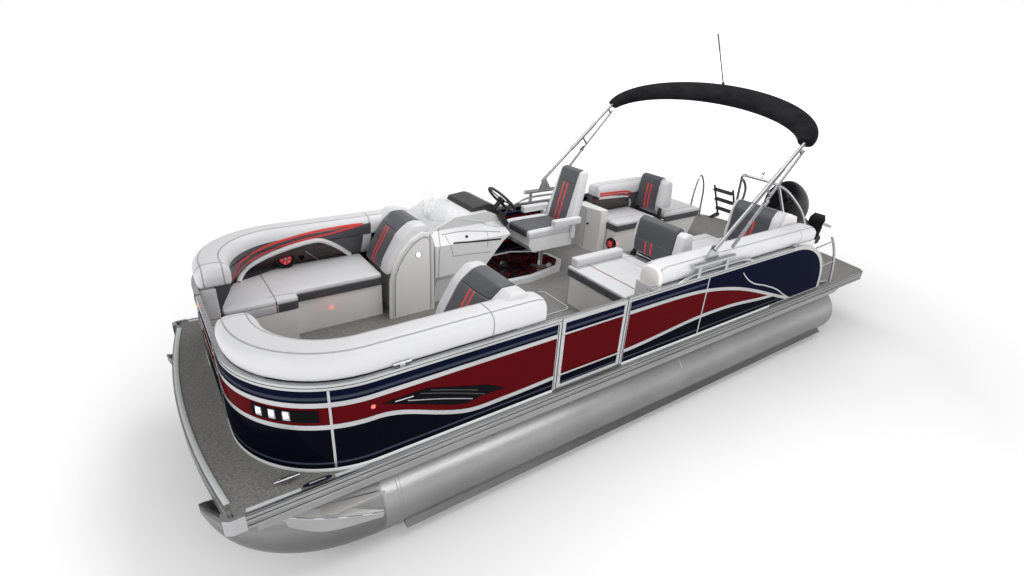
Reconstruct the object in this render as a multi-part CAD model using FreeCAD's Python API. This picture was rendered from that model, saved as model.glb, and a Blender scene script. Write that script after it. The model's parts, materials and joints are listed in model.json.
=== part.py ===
import FreeCAD, Part
import math
import os

# Pontoon boat on three tubes, standing dry with its outboard motor tilted up.
# Millimetres, +X to the bow, +Y to port, +Z up, keels on z = 0.
# Shapes are drawn with x measured from the bow deck corners and moved by MIDDLE_X on export.

os.makedirs("parts", exist_ok=True)

V = FreeCAD.Vector
UP = V(0, 0, 1)
ACROSS = V(0, 1, 0)
AHEAD = V(1, 0, 0)

# Driving dimensions
BEAM = 2590.0
DECK_TOP = 863.0
DECK_T = 20.0
MIDDLE_X = 4382.7
BOW_SAG = 115.0
BOW_HALF = 1170.0
STERN_X = -7460.0
STERN_SAG = 140.0
STERN_HALF = 1150.0
SEAT_GAP = 0.3
RUN_GAP = 0.06

# Tubes
TUBE_R = 312.0
KEEL_H = 10.0
TUBE_Z = TUBE_R + KEEL_H
NOSE_X = -1000.0
TUBE_END_X = -6980.0
WELD_X = -4040.0
TUBE_TOP = TUBE_Z + TUBE_R
TUBE_INSET = 281.0

# Under the deck
MEMBER_H = 100.0
MEMBER_PITCH = 400.0
MEMBER_FIRST_X = -330.0
MEMBER_COUNT = 18
MEMBER_Z = DECK_TOP - DECK_T - MEMBER_H
MEMBER_INSET = 39.0
SKIRT_Z0 = 655.0
SKIRT_T = 5.0

# Rub rail
RAIL_T = 26.0
RAIL_Z0 = 765.0
RAIL_Z1 = 868.0
DECK_HALF = BEAM / 2 - RAIL_T
CAP_REACH = 59.0
CAP_IN_Y = DECK_HALF - CAP_REACH

# Fence
FENCE_Y = 1265.0
FENCE_T = 32.0
FENCE_R = 735.0
FENCE_CX = -870.0
MEMBER_HALF = FENCE_Y - MEMBER_INSET
TUBE_Y = MEMBER_HALF - TUBE_INSET
FENCE_CY = FENCE_Y - FENCE_R
FENCE_Z0 = DECK_TOP
FENCE_Z1 = 1520.0
FENCE_LOW_H = 32.0
FENCE_TOP_H = 40.0
SKIN_T = 8.0
POST_W = 32.0
FENCE_FRONT_X = FENCE_CX + FENCE_R
BOW_GATE_HALF = 350.0
GATE_GAP = 10.0
HINGE_R = 7.0
SIDE_GATE_X0 = -2320.0
SIDE_GATE_X1 = -3020.0
FENCE_TAIL_X = -6300.0
FENCE_DROP_X = -5520.0
TRIM_T = 4.0
TRIM_W = 34.0
UPPER_TRIM_Z = 1380.0
LOWER_TRIM_Z = 1218.0
SEAM_ANGLE = 69.3
SEAM_X = -4060.0
LAMP_Z = 1300.0
LAMP_H = 84.0

# Seats
SEAT_BASE_TOP = 1180.0
SEAT_TOP = 1300.0
FLIP_FOOT_Z = SEAT_TOP - 55
FLIP_PIVOT_Z = FLIP_FOOT_Z + 26
SEAT_IN = 430.0
SEAT_OUT = FENCE_Y - 40.0
COAMING_TOP = 1690.0
COAMING_W = 265.0
COAMING_IN_Y = FENCE_Y - COAMING_W
COAMING_OUT = 30.0
AFT_COAMING_OUT = 42.0

# Floor locker on the centre line
HATCH_X0 = -3365.0
HATCH_X1 = -2465.0
HATCH_HALF = 250.0
HATCH_T = 14.0
LOCKER_DEPTH = 185.0
LOCKER_WALL = 4.0

# Backs that flip over the aft lounges
STAR_FLIP_X = -5560.0
PORT_FLIP_X = -4285.0

# Helm
CONSOLE_IN = -450.0
CONSOLE_OUT = -1215.0
WHEEL_AT = V(-3100, -740, 1780)
WHEEL_R = 190.0
WHEEL_LEAN = 43.0
CHAIR_AT = V(-3680, -740, 0)
DAIS_H = 70.0

# Canopy frame
CANOPY_PIVOT = V(-4060, 0, 1770)
CANOPY_ANGLE = 40.5
CANOPY_Y = 1262.0
CANOPY_POLE_R = 17.0
CANOPY_REACH = 1310.0
CANOPY_RISE = 445.0
STRUT_PIVOT_AT = 660.0
STRUT_PIVOT_OFF = 130.0
STRUT_FOOT_AT = 165.0
STRUT_FOOT_OFF = 190.0
SLIDE_Z = 1640.0
SLIDE_R = 24.0

# Boarding ladder
LADDER_AT = (-7602.0, 905.0)
LADDER_Y = (-1090.0, -760.0)
LADDER_LEAN = 27.0

# Motor, drawn upright about its tilt axis and then tilted
TILT_AT = V(-7735, 0, 845)
TILT_ANGLE = 62.0
STEER_X = -140.0
PROP_Z = -880.0


def box(x0, x1, y0, y1, z0, z1):
    """A block from its six limits."""
    x_low, x_high = sorted((x0, x1))
    y_low, y_high = sorted((y0, y1))
    return Part.makeBox(x_high - x_low, y_high - y_low, z1 - z0, V(x_low, y_low, z0))


def prism_xz(points, y0, y1):
    """A side outline of (x, z) points, carried across the boat."""
    outline = [V(x, y0, z) for x, z in points]
    return Part.Face(Part.makePolygon(outline + outline[:1])).extrude(V(0, y1 - y0, 0))


def prism_xy(points, z0, z1):
    """A plan outline of (x, y) points, carried upward."""
    outline = [V(x, y, z0) for x, y in points]
    return Part.Face(Part.makePolygon(outline + outline[:1])).extrude(V(0, 0, z1 - z0))


def prism_yz(points, x0, x1):
    """A cross outline of (y, z) points, carried lengthwise."""
    outline = [V(x0, y, z) for y, z in points]
    return Part.Face(Part.makePolygon(outline + outline[:1])).extrude(V(x1 - x0, 0, 0))


def rod(a, b, r):
    """A round bar between two points."""
    along = b.sub(a)
    return Part.makeCylinder(r, along.Length, a, along)


def bent_tube(points, r):
    """A round tube through a smooth run of points."""
    curve = Part.BSplineCurve()
    curve.interpolate(points)
    steps = 3 * (len(points) - 1)
    first, last = curve.FirstParameter, curve.LastParameter
    rings = []
    for i in range(steps + 1):
        at = first + (last - first) * i / steps
        rings.append(Part.Wire([Part.makeCircle(r, curve.value(at), curve.tangent(at)[0])]))
    return Part.makeLoft(rings, True, False)


def mirror(shape):
    """The same shape on the other side of the boat."""
    return shape.mirror(V(0, 0, 0), ACROSS)


def sided(shape, side):
    """Shapes are drawn to port; side -1 puts them to starboard."""
    return shape if side > 0 else mirror(shape)


def join(shapes):
    """One solid from touching solids."""
    return shapes[0].multiFuse(shapes[1:]).removeSplitter()


def gather(shapes):
    """Solids that share a node and don't touch."""
    return Part.makeCompound(shapes)


def round_edges(shape, r, pick):
    """Round the edges that pick chooses."""
    chosen = [e for e in shape.Edges if pick(e)]
    return shape.makeFillet(r, chosen)


def lengthwise(edge):
    """True for a straight edge that runs along the boat."""
    a = edge.Vertexes[0].Point
    b = edge.Vertexes[-1].Point
    d = b.sub(a)
    return d.Length > 1 and abs(d.x) > 0.99 * d.Length


def crosswise(edge):
    """True for a straight edge that runs across the boat."""
    d = edge.Vertexes[-1].Point.sub(edge.Vertexes[0].Point)
    return d.Length > 1 and abs(d.y) > 0.99 * d.Length


def upright(edge):
    """True for a straight edge that stands upright."""
    d = edge.Vertexes[-1].Point.sub(edge.Vertexes[0].Point)
    return d.Length > 1 and abs(d.z) > 0.99 * d.Length


def arc_x(half, sag, y):
    """How far an arc over a chord of 2*half bulges at y."""
    r = (half * half + sag * sag) / (2 * sag)
    return math.sqrt(r * r - y * y) - (r - sag)


def deck_plan(inset, z):
    """Deck outline, set in by the given amount, as a face."""
    half = DECK_HALF - inset
    bow_x = arc_x(BOW_HALF, BOW_SAG, half) - inset
    bow_mid = BOW_SAG - inset
    stern_x = STERN_X - arc_x(STERN_HALF, STERN_SAG, half) + inset
    stern_mid = STERN_X - STERN_SAG + inset
    corner = 110.0
    bow = Part.Arc(V(bow_x, -half, z), V(bow_mid, 0, z), V(bow_x, half, z)).toShape()
    port = Part.makeLine(V(bow_x, half, z), V(stern_x + corner, half, z))
    c = corner
    k = c * (1 - math.sqrt(0.5))
    port_turn = Part.Arc(V(stern_x + c, half, z), V(stern_x + k - 12, half - k + 4, z),
                         V(stern_x - 25, half - c, z)).toShape()
    stern = Part.Arc(V(stern_x - 25, half - c, z), V(stern_mid, 0, z), V(stern_x - 25, c - half, z)).toShape()
    star_turn = Part.Arc(V(stern_x - 25, c - half, z), V(stern_x + k - 12, k - half - 4, z),
                         V(stern_x + c, -half, z)).toShape()
    starboard = Part.makeLine(V(stern_x + c, -half, z), V(bow_x, -half, z))
    return Part.Face(Part.Wire([bow, port, port_turn, stern, star_turn, starboard]))


def corner_band(out, inner, x_end, y_start, z0, z1):
    """A wall that follows the port bow corner between two offsets from the fence face."""
    ro = FENCE_R - out
    ri = FENCE_R - inner
    cx, cy = FENCE_CX, FENCE_CY
    s = math.sqrt(0.5)
    edges = [
        Part.makeLine(V(cx + ro, y_start, z0), V(cx + ro, cy, z0)),
        Part.Arc(V(cx + ro, cy, z0), V(cx + ro * s, cy + ro * s, z0), V(cx, cy + ro, z0)).toShape(),
        Part.makeLine(V(cx, cy + ro, z0), V(x_end, cy + ro, z0)),
        Part.makeLine(V(x_end, cy + ro, z0), V(x_end, cy + ri, z0)),
        Part.makeLine(V(x_end, cy + ri, z0), V(cx, cy + ri, z0)),
        Part.Arc(V(cx, cy + ri, z0), V(cx + ri * s, cy + ri * s, z0), V(cx + ri, cy, z0)).toShape(),
        Part.makeLine(V(cx + ri, cy, z0), V(cx + ri, y_start, z0)),
        Part.makeLine(V(cx + ri, y_start, z0), V(cx + ro, y_start, z0)),
    ]
    return Part.Face(Part.Wire(edges)).extrude(V(0, 0, z1 - z0))


# Tubes
def tube():
    """One pontoon on the centre line: barrel, upswept nose, keel, strakes and weld rings."""
    profile = [(TUBE_END_X - 12, 0), (TUBE_END_X - 12, TUBE_R - 30), (TUBE_END_X, TUBE_R - 14), (TUBE_END_X, TUBE_R)]
    for x in (WELD_X, NOSE_X - 20):
        profile += [(x - 14, TUBE_R), (x - 10, TUBE_R + 3), (x + 10, TUBE_R + 3), (x + 14, TUBE_R)]
    profile += [(NOSE_X, TUBE_R), (NOSE_X, 0)]
    outline = [V(x, 0, TUBE_Z + r) for x, r in profile]
    barrel = Part.Face(Part.makePolygon(outline + outline[:1])).revolve(V(0, 0, TUBE_Z), AHEAD, 360)
    stations = [(NOSE_X, TUBE_R, TUBE_Z), (-720, 304, 333), (-420, 274, 371),
                (-160, 214, 452), (0, 150, 545), (95, 82, 648), (140, 26, 722)]
    rings = []
    for x, r, z in stations:
        rings.append(Part.Wire([Part.makeCircle(r, V(x, 0, z), AHEAD)]))
    nose = Part.makeLoft(rings, True, False)
    keel = box(NOSE_X - 40, TUBE_END_X + 60, -20, 20, 0, KEEL_H + 20)
    keel_run = prism_xz([(NOSE_X - 60, 0), (NOSE_X + 330, 34), (NOSE_X + 330, 80), (NOSE_X - 60, 60)], -14, 14)
    lean = math.radians(38)
    flank_y = TUBE_R * math.cos(lean)
    flank_z = TUBE_Z - TUBE_R * math.sin(lean)
    strake = [(flank_y - 6, flank_z + 8), (flank_y + 42, flank_z - 34), (flank_y - 60, flank_z - 34)]
    port_strake = prism_yz(strake, TUBE_END_X + 120, NOSE_X - 60)
    shape = barrel
    for piece in (nose, keel, keel_run, port_strake, mirror(port_strake)):
        shape = shape.fuse(piece)
    return shape


def nose_fin():
    """Slotted spray plate that stands out from an outer nose cone, drawn as the tube is."""
    fin = prism_xy([(-140, 115), (-900, 295), (-900, 317), (-560, 317), (-120, 140)], 556, 562)
    for i in range(3):
        x = -420 - i * 130
        fin = fin.cut(prism_xy([(x, 251), (x - 90, 269), (x - 90, 283), (x, 267)], 550, 570))
    return fin


def tube_risers():
    """Top-hat rails between each tube and the cross members."""
    z0 = TUBE_TOP - 22
    outline = [(-95, z0), (-95, z0 + 8), (-52, z0 + 30), (-52, MEMBER_Z), (52, MEMBER_Z),
               (52, z0 + 30), (95, z0 + 8), (95, z0), (44, z0 + 14), (44, MEMBER_Z - 8),
               (-44, MEMBER_Z - 8), (-44, z0 + 14)]
    rails = []
    locker = box(HATCH_X0 - 12, HATCH_X1 + 12, -HATCH_HALF, HATCH_HALF, 0, DECK_TOP)
    for y in (-TUBE_Y, 0, TUBE_Y):
        rail = prism_yz(outline, TUBE_END_X + 80, NOSE_X - 4)
        rail.translate(V(0, y, 0))
        rail = rail.cut(locker)
        saddle = Part.makeCylinder(TUBE_R, 7000, V(TUBE_END_X - 40, y, TUBE_Z), AHEAD)
        rings = Part.makeCylinder(TUBE_R + 4, 34, V(NOSE_X - 37, y, TUBE_Z), AHEAD)
        rail = rail.cut(saddle).cut(rings)
        rail = rail.cut(Part.makeCylinder(TUBE_R + 4, 34, V(WELD_X - 17, y, TUBE_Z), AHEAD))
        rails.extend(rail.Solids)
    return gather(rails)


def cross_members():
    """Channel beams across the boat, cut short round the floor locker and the motor well."""
    beams = []
    hole = box(HATCH_X0 - 12, HATCH_X1 + 12, -HATCH_HALF - 12, HATCH_HALF + 12, 0, DECK_TOP)
    for i in range(MEMBER_COUNT):
        x = MEMBER_FIRST_X - i * MEMBER_PITCH
        web = box(x - 3, x + 3, -MEMBER_HALF, MEMBER_HALF, MEMBER_Z, MEMBER_Z + MEMBER_H)
        low = box(x - 3, x + 42, -MEMBER_HALF, MEMBER_HALF, MEMBER_Z, MEMBER_Z + 6)
        top = box(x - 3, x + 42, -MEMBER_HALF, MEMBER_HALF, MEMBER_Z + MEMBER_H - 6, MEMBER_Z + MEMBER_H)
        beam = join([web, low, top]).cut(hole)
        beams.extend(beam.Solids)
    return gather(beams)


def side_skirts():
    """Flat aluminium bands that close the sides under the rub rail."""
    band = box(-120, -7180, MEMBER_HALF, MEMBER_HALF + SKIRT_T, SKIRT_Z0, DECK_TOP - DECK_T)
    lip = box(-120, -7180, MEMBER_HALF - 26, MEMBER_HALF, SKIRT_Z0, SKIRT_Z0 + SKIRT_T)
    band = join([band, lip])
    tail = prism_xz([(-7190, 600), (-6760, 600), (-7190, 780)], MEMBER_HALF - 40, MEMBER_HALF + 20)
    band = band.cut(tail)
    return gather([band, mirror(band)])


# Deck and its edge
def deck():
    """Floor panel with the locker opening."""
    plate = deck_plan(0, DECK_TOP - DECK_T).extrude(V(0, 0, DECK_T))
    hole = box(HATCH_X0, HATCH_X1, -HATCH_HALF, HATCH_HALF, DECK_TOP - DECK_T - 5, DECK_TOP + 5)
    return plate.cut(hole)


def rail_ring():
    """Ribbed rub rail all round the deck, cut into four lengths below."""
    outer = deck_plan(-RAIL_T + 8, RAIL_Z0).extrude(V(0, 0, RAIL_Z1 - RAIL_Z0))
    ring = [outer]
    for z in (RAIL_Z0, RAIL_Z0 + 46, RAIL_Z1 - 26):
        ring.append(deck_plan(-RAIL_T, z).extrude(V(0, 0, 20)))
    hole = deck_plan(0, RAIL_Z0 - 5).extrude(V(0, 0, RAIL_Z1 - RAIL_Z0 + 10))
    return join(ring).cut(hole)


def rub_rails():
    """Port, starboard, bow and stern lengths of the rub rail."""
    ring = rail_ring()
    bow_cut = -70.0
    stern_cut = -7215.0
    sides = ring.common(box(bow_cut, stern_cut, DECK_HALF / 2, BEAM, RAIL_Z0 - 65, RAIL_Z1 + 32))
    bow = ring.common(box(bow_cut, 400, -CAP_IN_Y, CAP_IN_Y, RAIL_Z0 - 65, RAIL_Z1 + 32))
    stern = ring.common(box(stern_cut - 0.5, stern_cut - 685, -BEAM, BEAM, RAIL_Z0 - 65, RAIL_Z1 + 32))
    return sides, mirror(sides), bow, stern


def corner_caps():
    """Rounded castings that close the two bow corners of the rub rail."""
    caps = []
    for side in (1, -1):
        inner = CAP_IN_Y + 0.5
        face = DECK_HALF + SEAT_GAP
        cap = prism_xy([(-69, face), (-69, BEAM / 2), (10, BEAM / 2), (48, DECK_HALF + 3), (50, inner),
                        (15, inner), (15, face)], RAIL_Z0 - 6, RAIL_Z1 + 4)
        cap = round_edges(cap, 18, lambda e: upright(e) and e.Vertexes[0].Point.x > 5
                          and e.Vertexes[0].Point.y > DECK_HALF + 2)
        caps.append(sided(cap, side))
    return gather(caps)


# Fence
def fence_frame(side, is_port):
    """Rails and posts of the bow quarter, from the bow gate to the side gate."""
    x_end = SIDE_GATE_X0
    y0 = BOW_GATE_HALF
    low = corner_band(0, FENCE_T, x_end, y0, FENCE_Z0, FENCE_Z0 + FENCE_LOW_H)
    top = corner_band(0, FENCE_T, x_end, y0, FENCE_Z1 - FENCE_TOP_H, FENCE_Z1)
    shapes = [low, top]
    x1 = FENCE_FRONT_X
    shapes.append(box(x1 - FENCE_T, x1, y0, y0 + POST_W, FENCE_Z0, FENCE_Z1))
    shapes.append(box(x_end, x_end + POST_W, FENCE_Y - FENCE_T, FENCE_Y, FENCE_Z0, FENCE_Z1))
    shapes.append(box(-1480, -1480 + POST_W, FENCE_Y - FENCE_T + 3, FENCE_Y - SKIN_T - 2,
                      FENCE_Z0 + 4, FENCE_Z1 - 4))
    for i in range(3):
        a = math.radians(5 + 40 * i)
        post = box(FENCE_R - FENCE_T + 3, FENCE_R - SKIN_T - 2, -16, 16, FENCE_Z0 + 4, FENCE_Z1 - 4)
        post.rotate(V(0, 0, 0), UP, math.degrees(a))
        post.translate(V(FENCE_CX, FENCE_CY, 0))
        shapes.append(post)
    return sided(join(shapes), side)


def fence_skin_bow(side):
    """Coloured skin of the bow quarter."""
    skin = corner_band(1, SKIN_T - 0.3, SIDE_GATE_X0 + POST_W + 0.3, BOW_GATE_HALF + POST_W + 0.3,
                       FENCE_Z0 + FENCE_LOW_H + 0.3, FENCE_Z1 - FENCE_TOP_H - 0.3)
    return sided(skin, side)


def tail_curve(drop, inset):
    """Points of the fence's drooping stern end, as (x, z)."""
    points = []
    x0 = FENCE_DROP_X
    x1 = FENCE_TAIL_X + inset
    z0 = FENCE_Z1 - drop
    for i in range(13):
        a = math.radians(90 * i / 12)
        x = x0 + (x1 - x0) * math.sin(a)
        z = FENCE_Z0 + (z0 - FENCE_Z0) * math.cos(a) ** 0.8 if i < 12 else FENCE_Z0
        points.append((x, z))
    return points


def tail_face(x_start, drop, inset, z_low):
    """Side outline of the aft quarter as a face in the plane y = 0."""
    points = [V(x, 0, z) for x, z in tail_curve(drop, inset)]
    curve = Part.BSplineCurve()
    curve.interpolate(points)
    z_top = FENCE_Z1 - drop
    foot = points[-1]
    edges = [
        Part.makeLine(V(x_start, 0, z_low), V(x_start, 0, z_top)),
        Part.makeLine(V(x_start, 0, z_top), points[0]),
        curve.toShape(),
        Part.makeLine(foot, V(x_start, 0, z_low)),
    ]
    return Part.Face(Part.Wire(edges))


def fence_aft(side, x_start):
    """Rails and skin of an aft quarter, whose top rail curves down to the deck."""
    whole = tail_face(x_start, 0, 0, FENCE_Z0).extrude(V(0, FENCE_T, 0))
    hole = tail_face(x_start - POST_W, FENCE_TOP_H, 46, FENCE_Z0).extrude(V(0, FENCE_T, 0))
    hole = hole.common(box(0, -9000, -10, 100, FENCE_Z0 + FENCE_LOW_H, 3000))
    frame = whole.cut(hole)
    posts = [frame]
    for x in (-4060.0, -5000.0):
        if x < x_start:
            posts.append(box(x - 16, x + 16, 3, FENCE_T - SKIN_T - 2, FENCE_Z0 + 5, FENCE_Z1 - 5))
    frame = join(posts)
    skin = tail_face(x_start - POST_W - 0.3, FENCE_TOP_H + 0.3, 46.5, FENCE_Z0)
    skin = skin.extrude(V(0, SKIN_T - 1.3, 0))
    skin = skin.common(box(0, -9000, -10, 100, FENCE_Z0 + FENCE_LOW_H + 0.3, 3000))
    frame.translate(V(0, FENCE_Y - FENCE_T, 0))
    skin.translate(V(0, FENCE_Y - SKIN_T + 0.3, 0))
    return sided(frame, side), sided(skin, side)


def side_strip(points, width, x_first, x_last):
    """A flat trim strip on the port side, along a smooth run of (x, z) points."""
    edges = []
    rows = []
    for shift in (width / 2, -width / 2):
        row = [V(x, 0, z + shift) for x, z in points]
        curve = Part.BSplineCurve()
        curve.interpolate(row)
        edges.append(curve.toShape())
        rows.append(row)
    for end in (0, -1):
        edges.append(Part.makeLine(rows[0][end], rows[1][end]))
    face = Part.Face(Part.Wire(Part.__sortEdges__(edges)))
    face.translate(V(0, FENCE_Y - 1 + SEAT_GAP, 0))
    strip = face.extrude(V(0, TRIM_T, 0))
    low = FENCE_Z0 + FENCE_LOW_H + 1
    return strip.common(box(x_first, x_last, 1200, 1300, low, FENCE_Z1))


def corner_sector(a0, a1, r0, r1, z0, z1):
    """Part of a ring round the port corner's centre, between two angles from ahead."""
    outer = Part.makeCylinder(r1, z1 - z0, V(FENCE_CX, FENCE_CY, z0), UP, a1 - a0)
    inner = Part.makeCylinder(r0, z1 - z0 + 2, V(FENCE_CX, FENCE_CY, z0 - 1), UP, 360)
    ring = outer.cut(inner)
    ring.rotate(V(FENCE_CX, FENCE_CY, 0), UP, a0)
    return ring


def bow_trim(side):
    """Two bright strips and the seam cover on the skin of a bow quarter."""
    x_last = SIDE_GATE_X0 + POST_W + 1
    half = TRIM_W / 2
    out = 1 - SEAT_GAP - TRIM_T
    inner = 1 - SEAT_GAP
    y_start = BOW_GATE_HALF + POST_W + 1
    upper = corner_band(out, inner, x_last, y_start, UPPER_TRIM_Z - half, UPPER_TRIM_Z + half)
    lower = corner_band(out, inner, FENCE_CX - 2, y_start, LOWER_TRIM_Z - half, LOWER_TRIM_Z + half)
    run = [(-850, LOWER_TRIM_Z), (-940, 1212), (-1060, 1180), (-1240, 1104), (-1400, 1040), (-1540, 1002),
           (-1760, 994), (-2000, 998), (-2320, 1010)]
    sweep = side_strip(run, TRIM_W, FENCE_CX, x_last)
    seam = corner_sector(SEAM_ANGLE - 0.6, SEAM_ANGLE + 0.6, FENCE_R - inner, FENCE_R - out,
                         FENCE_Z0 + FENCE_LOW_H + 1, FENCE_Z1 - FENCE_TOP_H - 1)
    shape = upper.fuse(seam).fuse(lower).fuse(sweep)
    return sided(shape, side)


def aft_trim(side, x_start):
    """Strips of an aft quarter: the upper one sweeps down to the deck, the lower one rises to meet it."""
    x_first = x_start - POST_W - 1
    run = [(x_start + 40, UPPER_TRIM_Z), (-3300, UPPER_TRIM_Z), (-3750, 1374), (-4015, 1356), (-4302, 1313),
           (-4618, 1243), (-4977, 1130), (-5383, 985), (-5800, 846)]
    upper = side_strip(run, TRIM_W, x_first, -5800)
    run = [(x_start + 40, 1012), (-3365, 1030), (-3720, 1062), (-3972, 1080), (-4387, 1084), (-4690, 1067),
           (-5024, 1032), (-5300, 1016)]
    lower = side_strip(run, TRIM_W, x_first, -5300)
    seam = box(SEAM_X - 8, SEAM_X + 8, FENCE_Y - 1 + SEAT_GAP, FENCE_Y - 1 + SEAT_GAP + TRIM_T,
               FENCE_Z0 + FENCE_LOW_H + 1, FENCE_Z1 - FENCE_TOP_H - 1)
    shape = upper.fuse(seam).fuse(lower)
    return sided(shape, side)


def gate_strips(width, z_values):
    """The two strips across a gate's skin, drawn as the gate is."""
    strips = []
    for z in z_values:
        strips.append(box(SEAT_GAP - 1, SEAT_GAP - 1 + TRIM_T, POST_W + 1, width - POST_W - 1,
                          z - TRIM_W / 2, z + TRIM_W / 2))
    return strips


def fence_inserts(side):
    """Dark louvre plate and lamp cluster let into the red band of a bow quarter."""
    y = FENCE_Y - 1 + SEAT_GAP
    louvre = prism_xz([(-912, 1302), (-1215, 1306), (-1690, 1160), (-1835, 1083), (-1610, 1086),
                       (-1520, 1066), (-1400, 1100)], y, y + 3)
    lamp = corner_sector(31, 64, FENCE_R - 1 + SEAT_GAP, FENCE_R + 5, LAMP_Z - LAMP_H / 2, LAMP_Z + LAMP_H / 2)
    return [sided(louvre, side), sided(lamp, side)]


def gate(width, strip_z):
    """A gate on the x = 0 plane, from y = 0 to its width, face to +x."""
    z0 = FENCE_Z0 + 25
    frame = box(-FENCE_T, 0, 0, width, z0, FENCE_Z1 - 6)
    hole = box(-FENCE_T - 1, 1, POST_W, width - POST_W, z0 + FENCE_LOW_H, FENCE_Z1 - 6 - FENCE_TOP_H)
    back = box(-FENCE_T, -SKIN_T, width / 2 - 12, width / 2 + 12, z0 + 4, FENCE_Z1 - 12)
    shapes = [frame.cut(hole), back]
    for z in (z0 + 90, FENCE_Z1 - 130):
        barrel = Part.makeCylinder(HINGE_R, 60, V(-FENCE_T - HINGE_R - SEAT_GAP, -GATE_GAP / 2, z))
        leaf = box(-FENCE_T - HINGE_R, -FENCE_T + 1, 2, 26, z, z + 60)
        arm = box(-FENCE_T - HINGE_R - 3, -FENCE_T - HINGE_R + 2, -GATE_GAP / 2, 26, z, z + 60)
        shapes += [barrel, leaf, arm]
    frame = join(shapes)
    skin = box(-SKIN_T + 0.3, -1, POST_W + 0.3, width - POST_W - 0.3,
               z0 + FENCE_LOW_H + 0.3, FENCE_Z1 - 6.3 - FENCE_TOP_H)
    return frame, gather([skin] + gate_strips(width, strip_z))


def bow_gate():
    """Centre gate at the bow."""
    frame, skin = gate(2 * BOW_GATE_HALF - 2 * GATE_GAP, (UPPER_TRIM_Z, LOWER_TRIM_Z))
    for shape in (frame, skin):
        shape.translate(V(FENCE_FRONT_X, GATE_GAP - BOW_GATE_HALF, 0))
    return frame, skin


def side_gate():
    """Port side gate."""
    frame, skin = gate(SIDE_GATE_X0 - SIDE_GATE_X1 - 2 * GATE_GAP, (UPPER_TRIM_Z, 1012))
    placed = []
    for shape in (frame, skin):
        shape = mirror(shape)
        shape.rotate(V(0, 0, 0), UP, 90)
        shape.translate(V(SIDE_GATE_X1 + GATE_GAP, FENCE_Y, 0))
        placed.append(shape)
    return placed


# Seats
def bow_lounge(side):
    """Base, seat cushion and side panel of a bow lounge, drawn to port."""
    inner = FENCE_T + 2
    base = corner_band(inner, 60, -1650, SEAT_IN, DECK_TOP, SEAT_BASE_TOP)
    plan = prism_xy([(-175, SEAT_IN), (-560, SEAT_IN), (-1650, SEAT_IN), (-1650, SEAT_OUT), (-900, SEAT_OUT),
                     (-420, 1000), (-185, 640)], DECK_TOP, SEAT_BASE_TOP)
    keep = corner_band(inner, FENCE_R - 30, -1650, SEAT_IN, DECK_TOP, SEAT_BASE_TOP)
    base = join([plan.common(keep), base])
    cushion_keep = corner_band(150, FENCE_R - 30, -1645, SEAT_IN, SEAT_BASE_TOP, SEAT_TOP)
    cushion = prism_xy([(-300, SEAT_IN - 10), (-1645, SEAT_IN - 10), (-1645, 1110), (-900, 1110),
                        (-460, 930), (-300, 640)], SEAT_BASE_TOP + SEAT_GAP, SEAT_TOP)
    cushion = cushion.common(corner_band(155, FENCE_R - 5, -1645, SEAT_IN - 10, SEAT_BASE_TOP, SEAT_TOP))
    cushion = join([cushion])
    panel = corner_band(inner + 1, 148, -1650, SEAT_IN + 5, SEAT_BASE_TOP + SEAT_GAP, FENCE_Z1 - 20)
    return sided(base, side), sided(cushion, side), sided(panel, side)


def bow_coaming(side):
    """Padded roll over the bow quarter of the fence."""
    roll = corner_band(COAMING_OUT, COAMING_W, -2200, SEAT_IN - 20, FENCE_Z1 + SEAT_GAP, COAMING_TOP)
    roll = round_edges(roll, 78, lambda e: e.BoundBox.ZMin > COAMING_TOP - 1
                       and not (e.BoundBox.XLength < 400 and e.BoundBox.YLength < 400
                                and e.Length > 200 and e.Curve.TypeId == "Part::GeomLine"
                                and (abs(e.BoundBox.XMax + 2200) < 1 and e.BoundBox.XLength < 1
                                     or abs(e.BoundBox.YMin - SEAT_IN + 20) < 1 and e.BoundBox.YLength < 1)))
    return sided(roll, side)


def chaise_back(side):
    """Shell and cushion of the tall back that closes a bow lounge."""
    outline = [(-1675, DECK_TOP), (-1690, 1240), (-1730, 1390), (-1800, 1510), (-1900, 1620),
               (-2020, 1680), (-2090, 1660), (-2130, 1600), (-2135, DECK_TOP)]
    shell = prism_xz(outline, SEAT_IN - 5, SEAT_IN + 34)
    body = prism_xz([(-1760, DECK_TOP), (-1790, 1240), (-1990, 1600), (-2090, 1650), (-2130, 1600),
                     (-2135, DECK_TOP)], SEAT_IN + 30, SEAT_OUT)
    body = body.cut(box(-1000, -3000, COAMING_IN_Y - 5, 1300, FENCE_Z1 - 1, 2000))
    shell = join([shell, body])
    pad = prism_xz([(-1655, SEAT_TOP + SEAT_GAP), (-1700, 1420), (-1830, 1640), (-1950, 1745), (-2080, 1740),
                    (-2130, 1665), (-2090, 1655), (-1985, 1606), (-1783, 1242), (-1780, SEAT_TOP + SEAT_GAP)],
                   SEAT_IN + 34 + SEAT_GAP, 985)
    pad = pad.cut(body)
    return sided(shell, side), sided(pad, side)


# Helm
def console():
    """Moulded helm console, undercut at the knees."""
    outline = [(-2160, DECK_TOP), (-2165, 1590), (-2260, 1650), (-2420, 1735), (-2800, 1745),
               (-2905, 1700), (-3000, 1560), (-3035, 1495), (-2950, 1440), (-2720, 1180), (-2690, DECK_TOP)]
    body = prism_xz(outline, CONSOLE_OUT, CONSOLE_IN)
    trim = prism_yz([(CONSOLE_IN, 1500), (CONSOLE_IN, 1900), (-500, 1900), (-565, 1620)], -2100, -3100)
    body = body.cut(trim)
    toe = prism_yz([(CONSOLE_IN + 1, 860), (CONSOLE_IN + 1, 1180), (-520, 1110), (-540, 860)], -2100, -3100)
    body = body.cut(toe)
    return body.cut(box(-2100, -2203, -1300, -COAMING_IN_Y + 5, FENCE_Z1 - 5, 1900))


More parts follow.
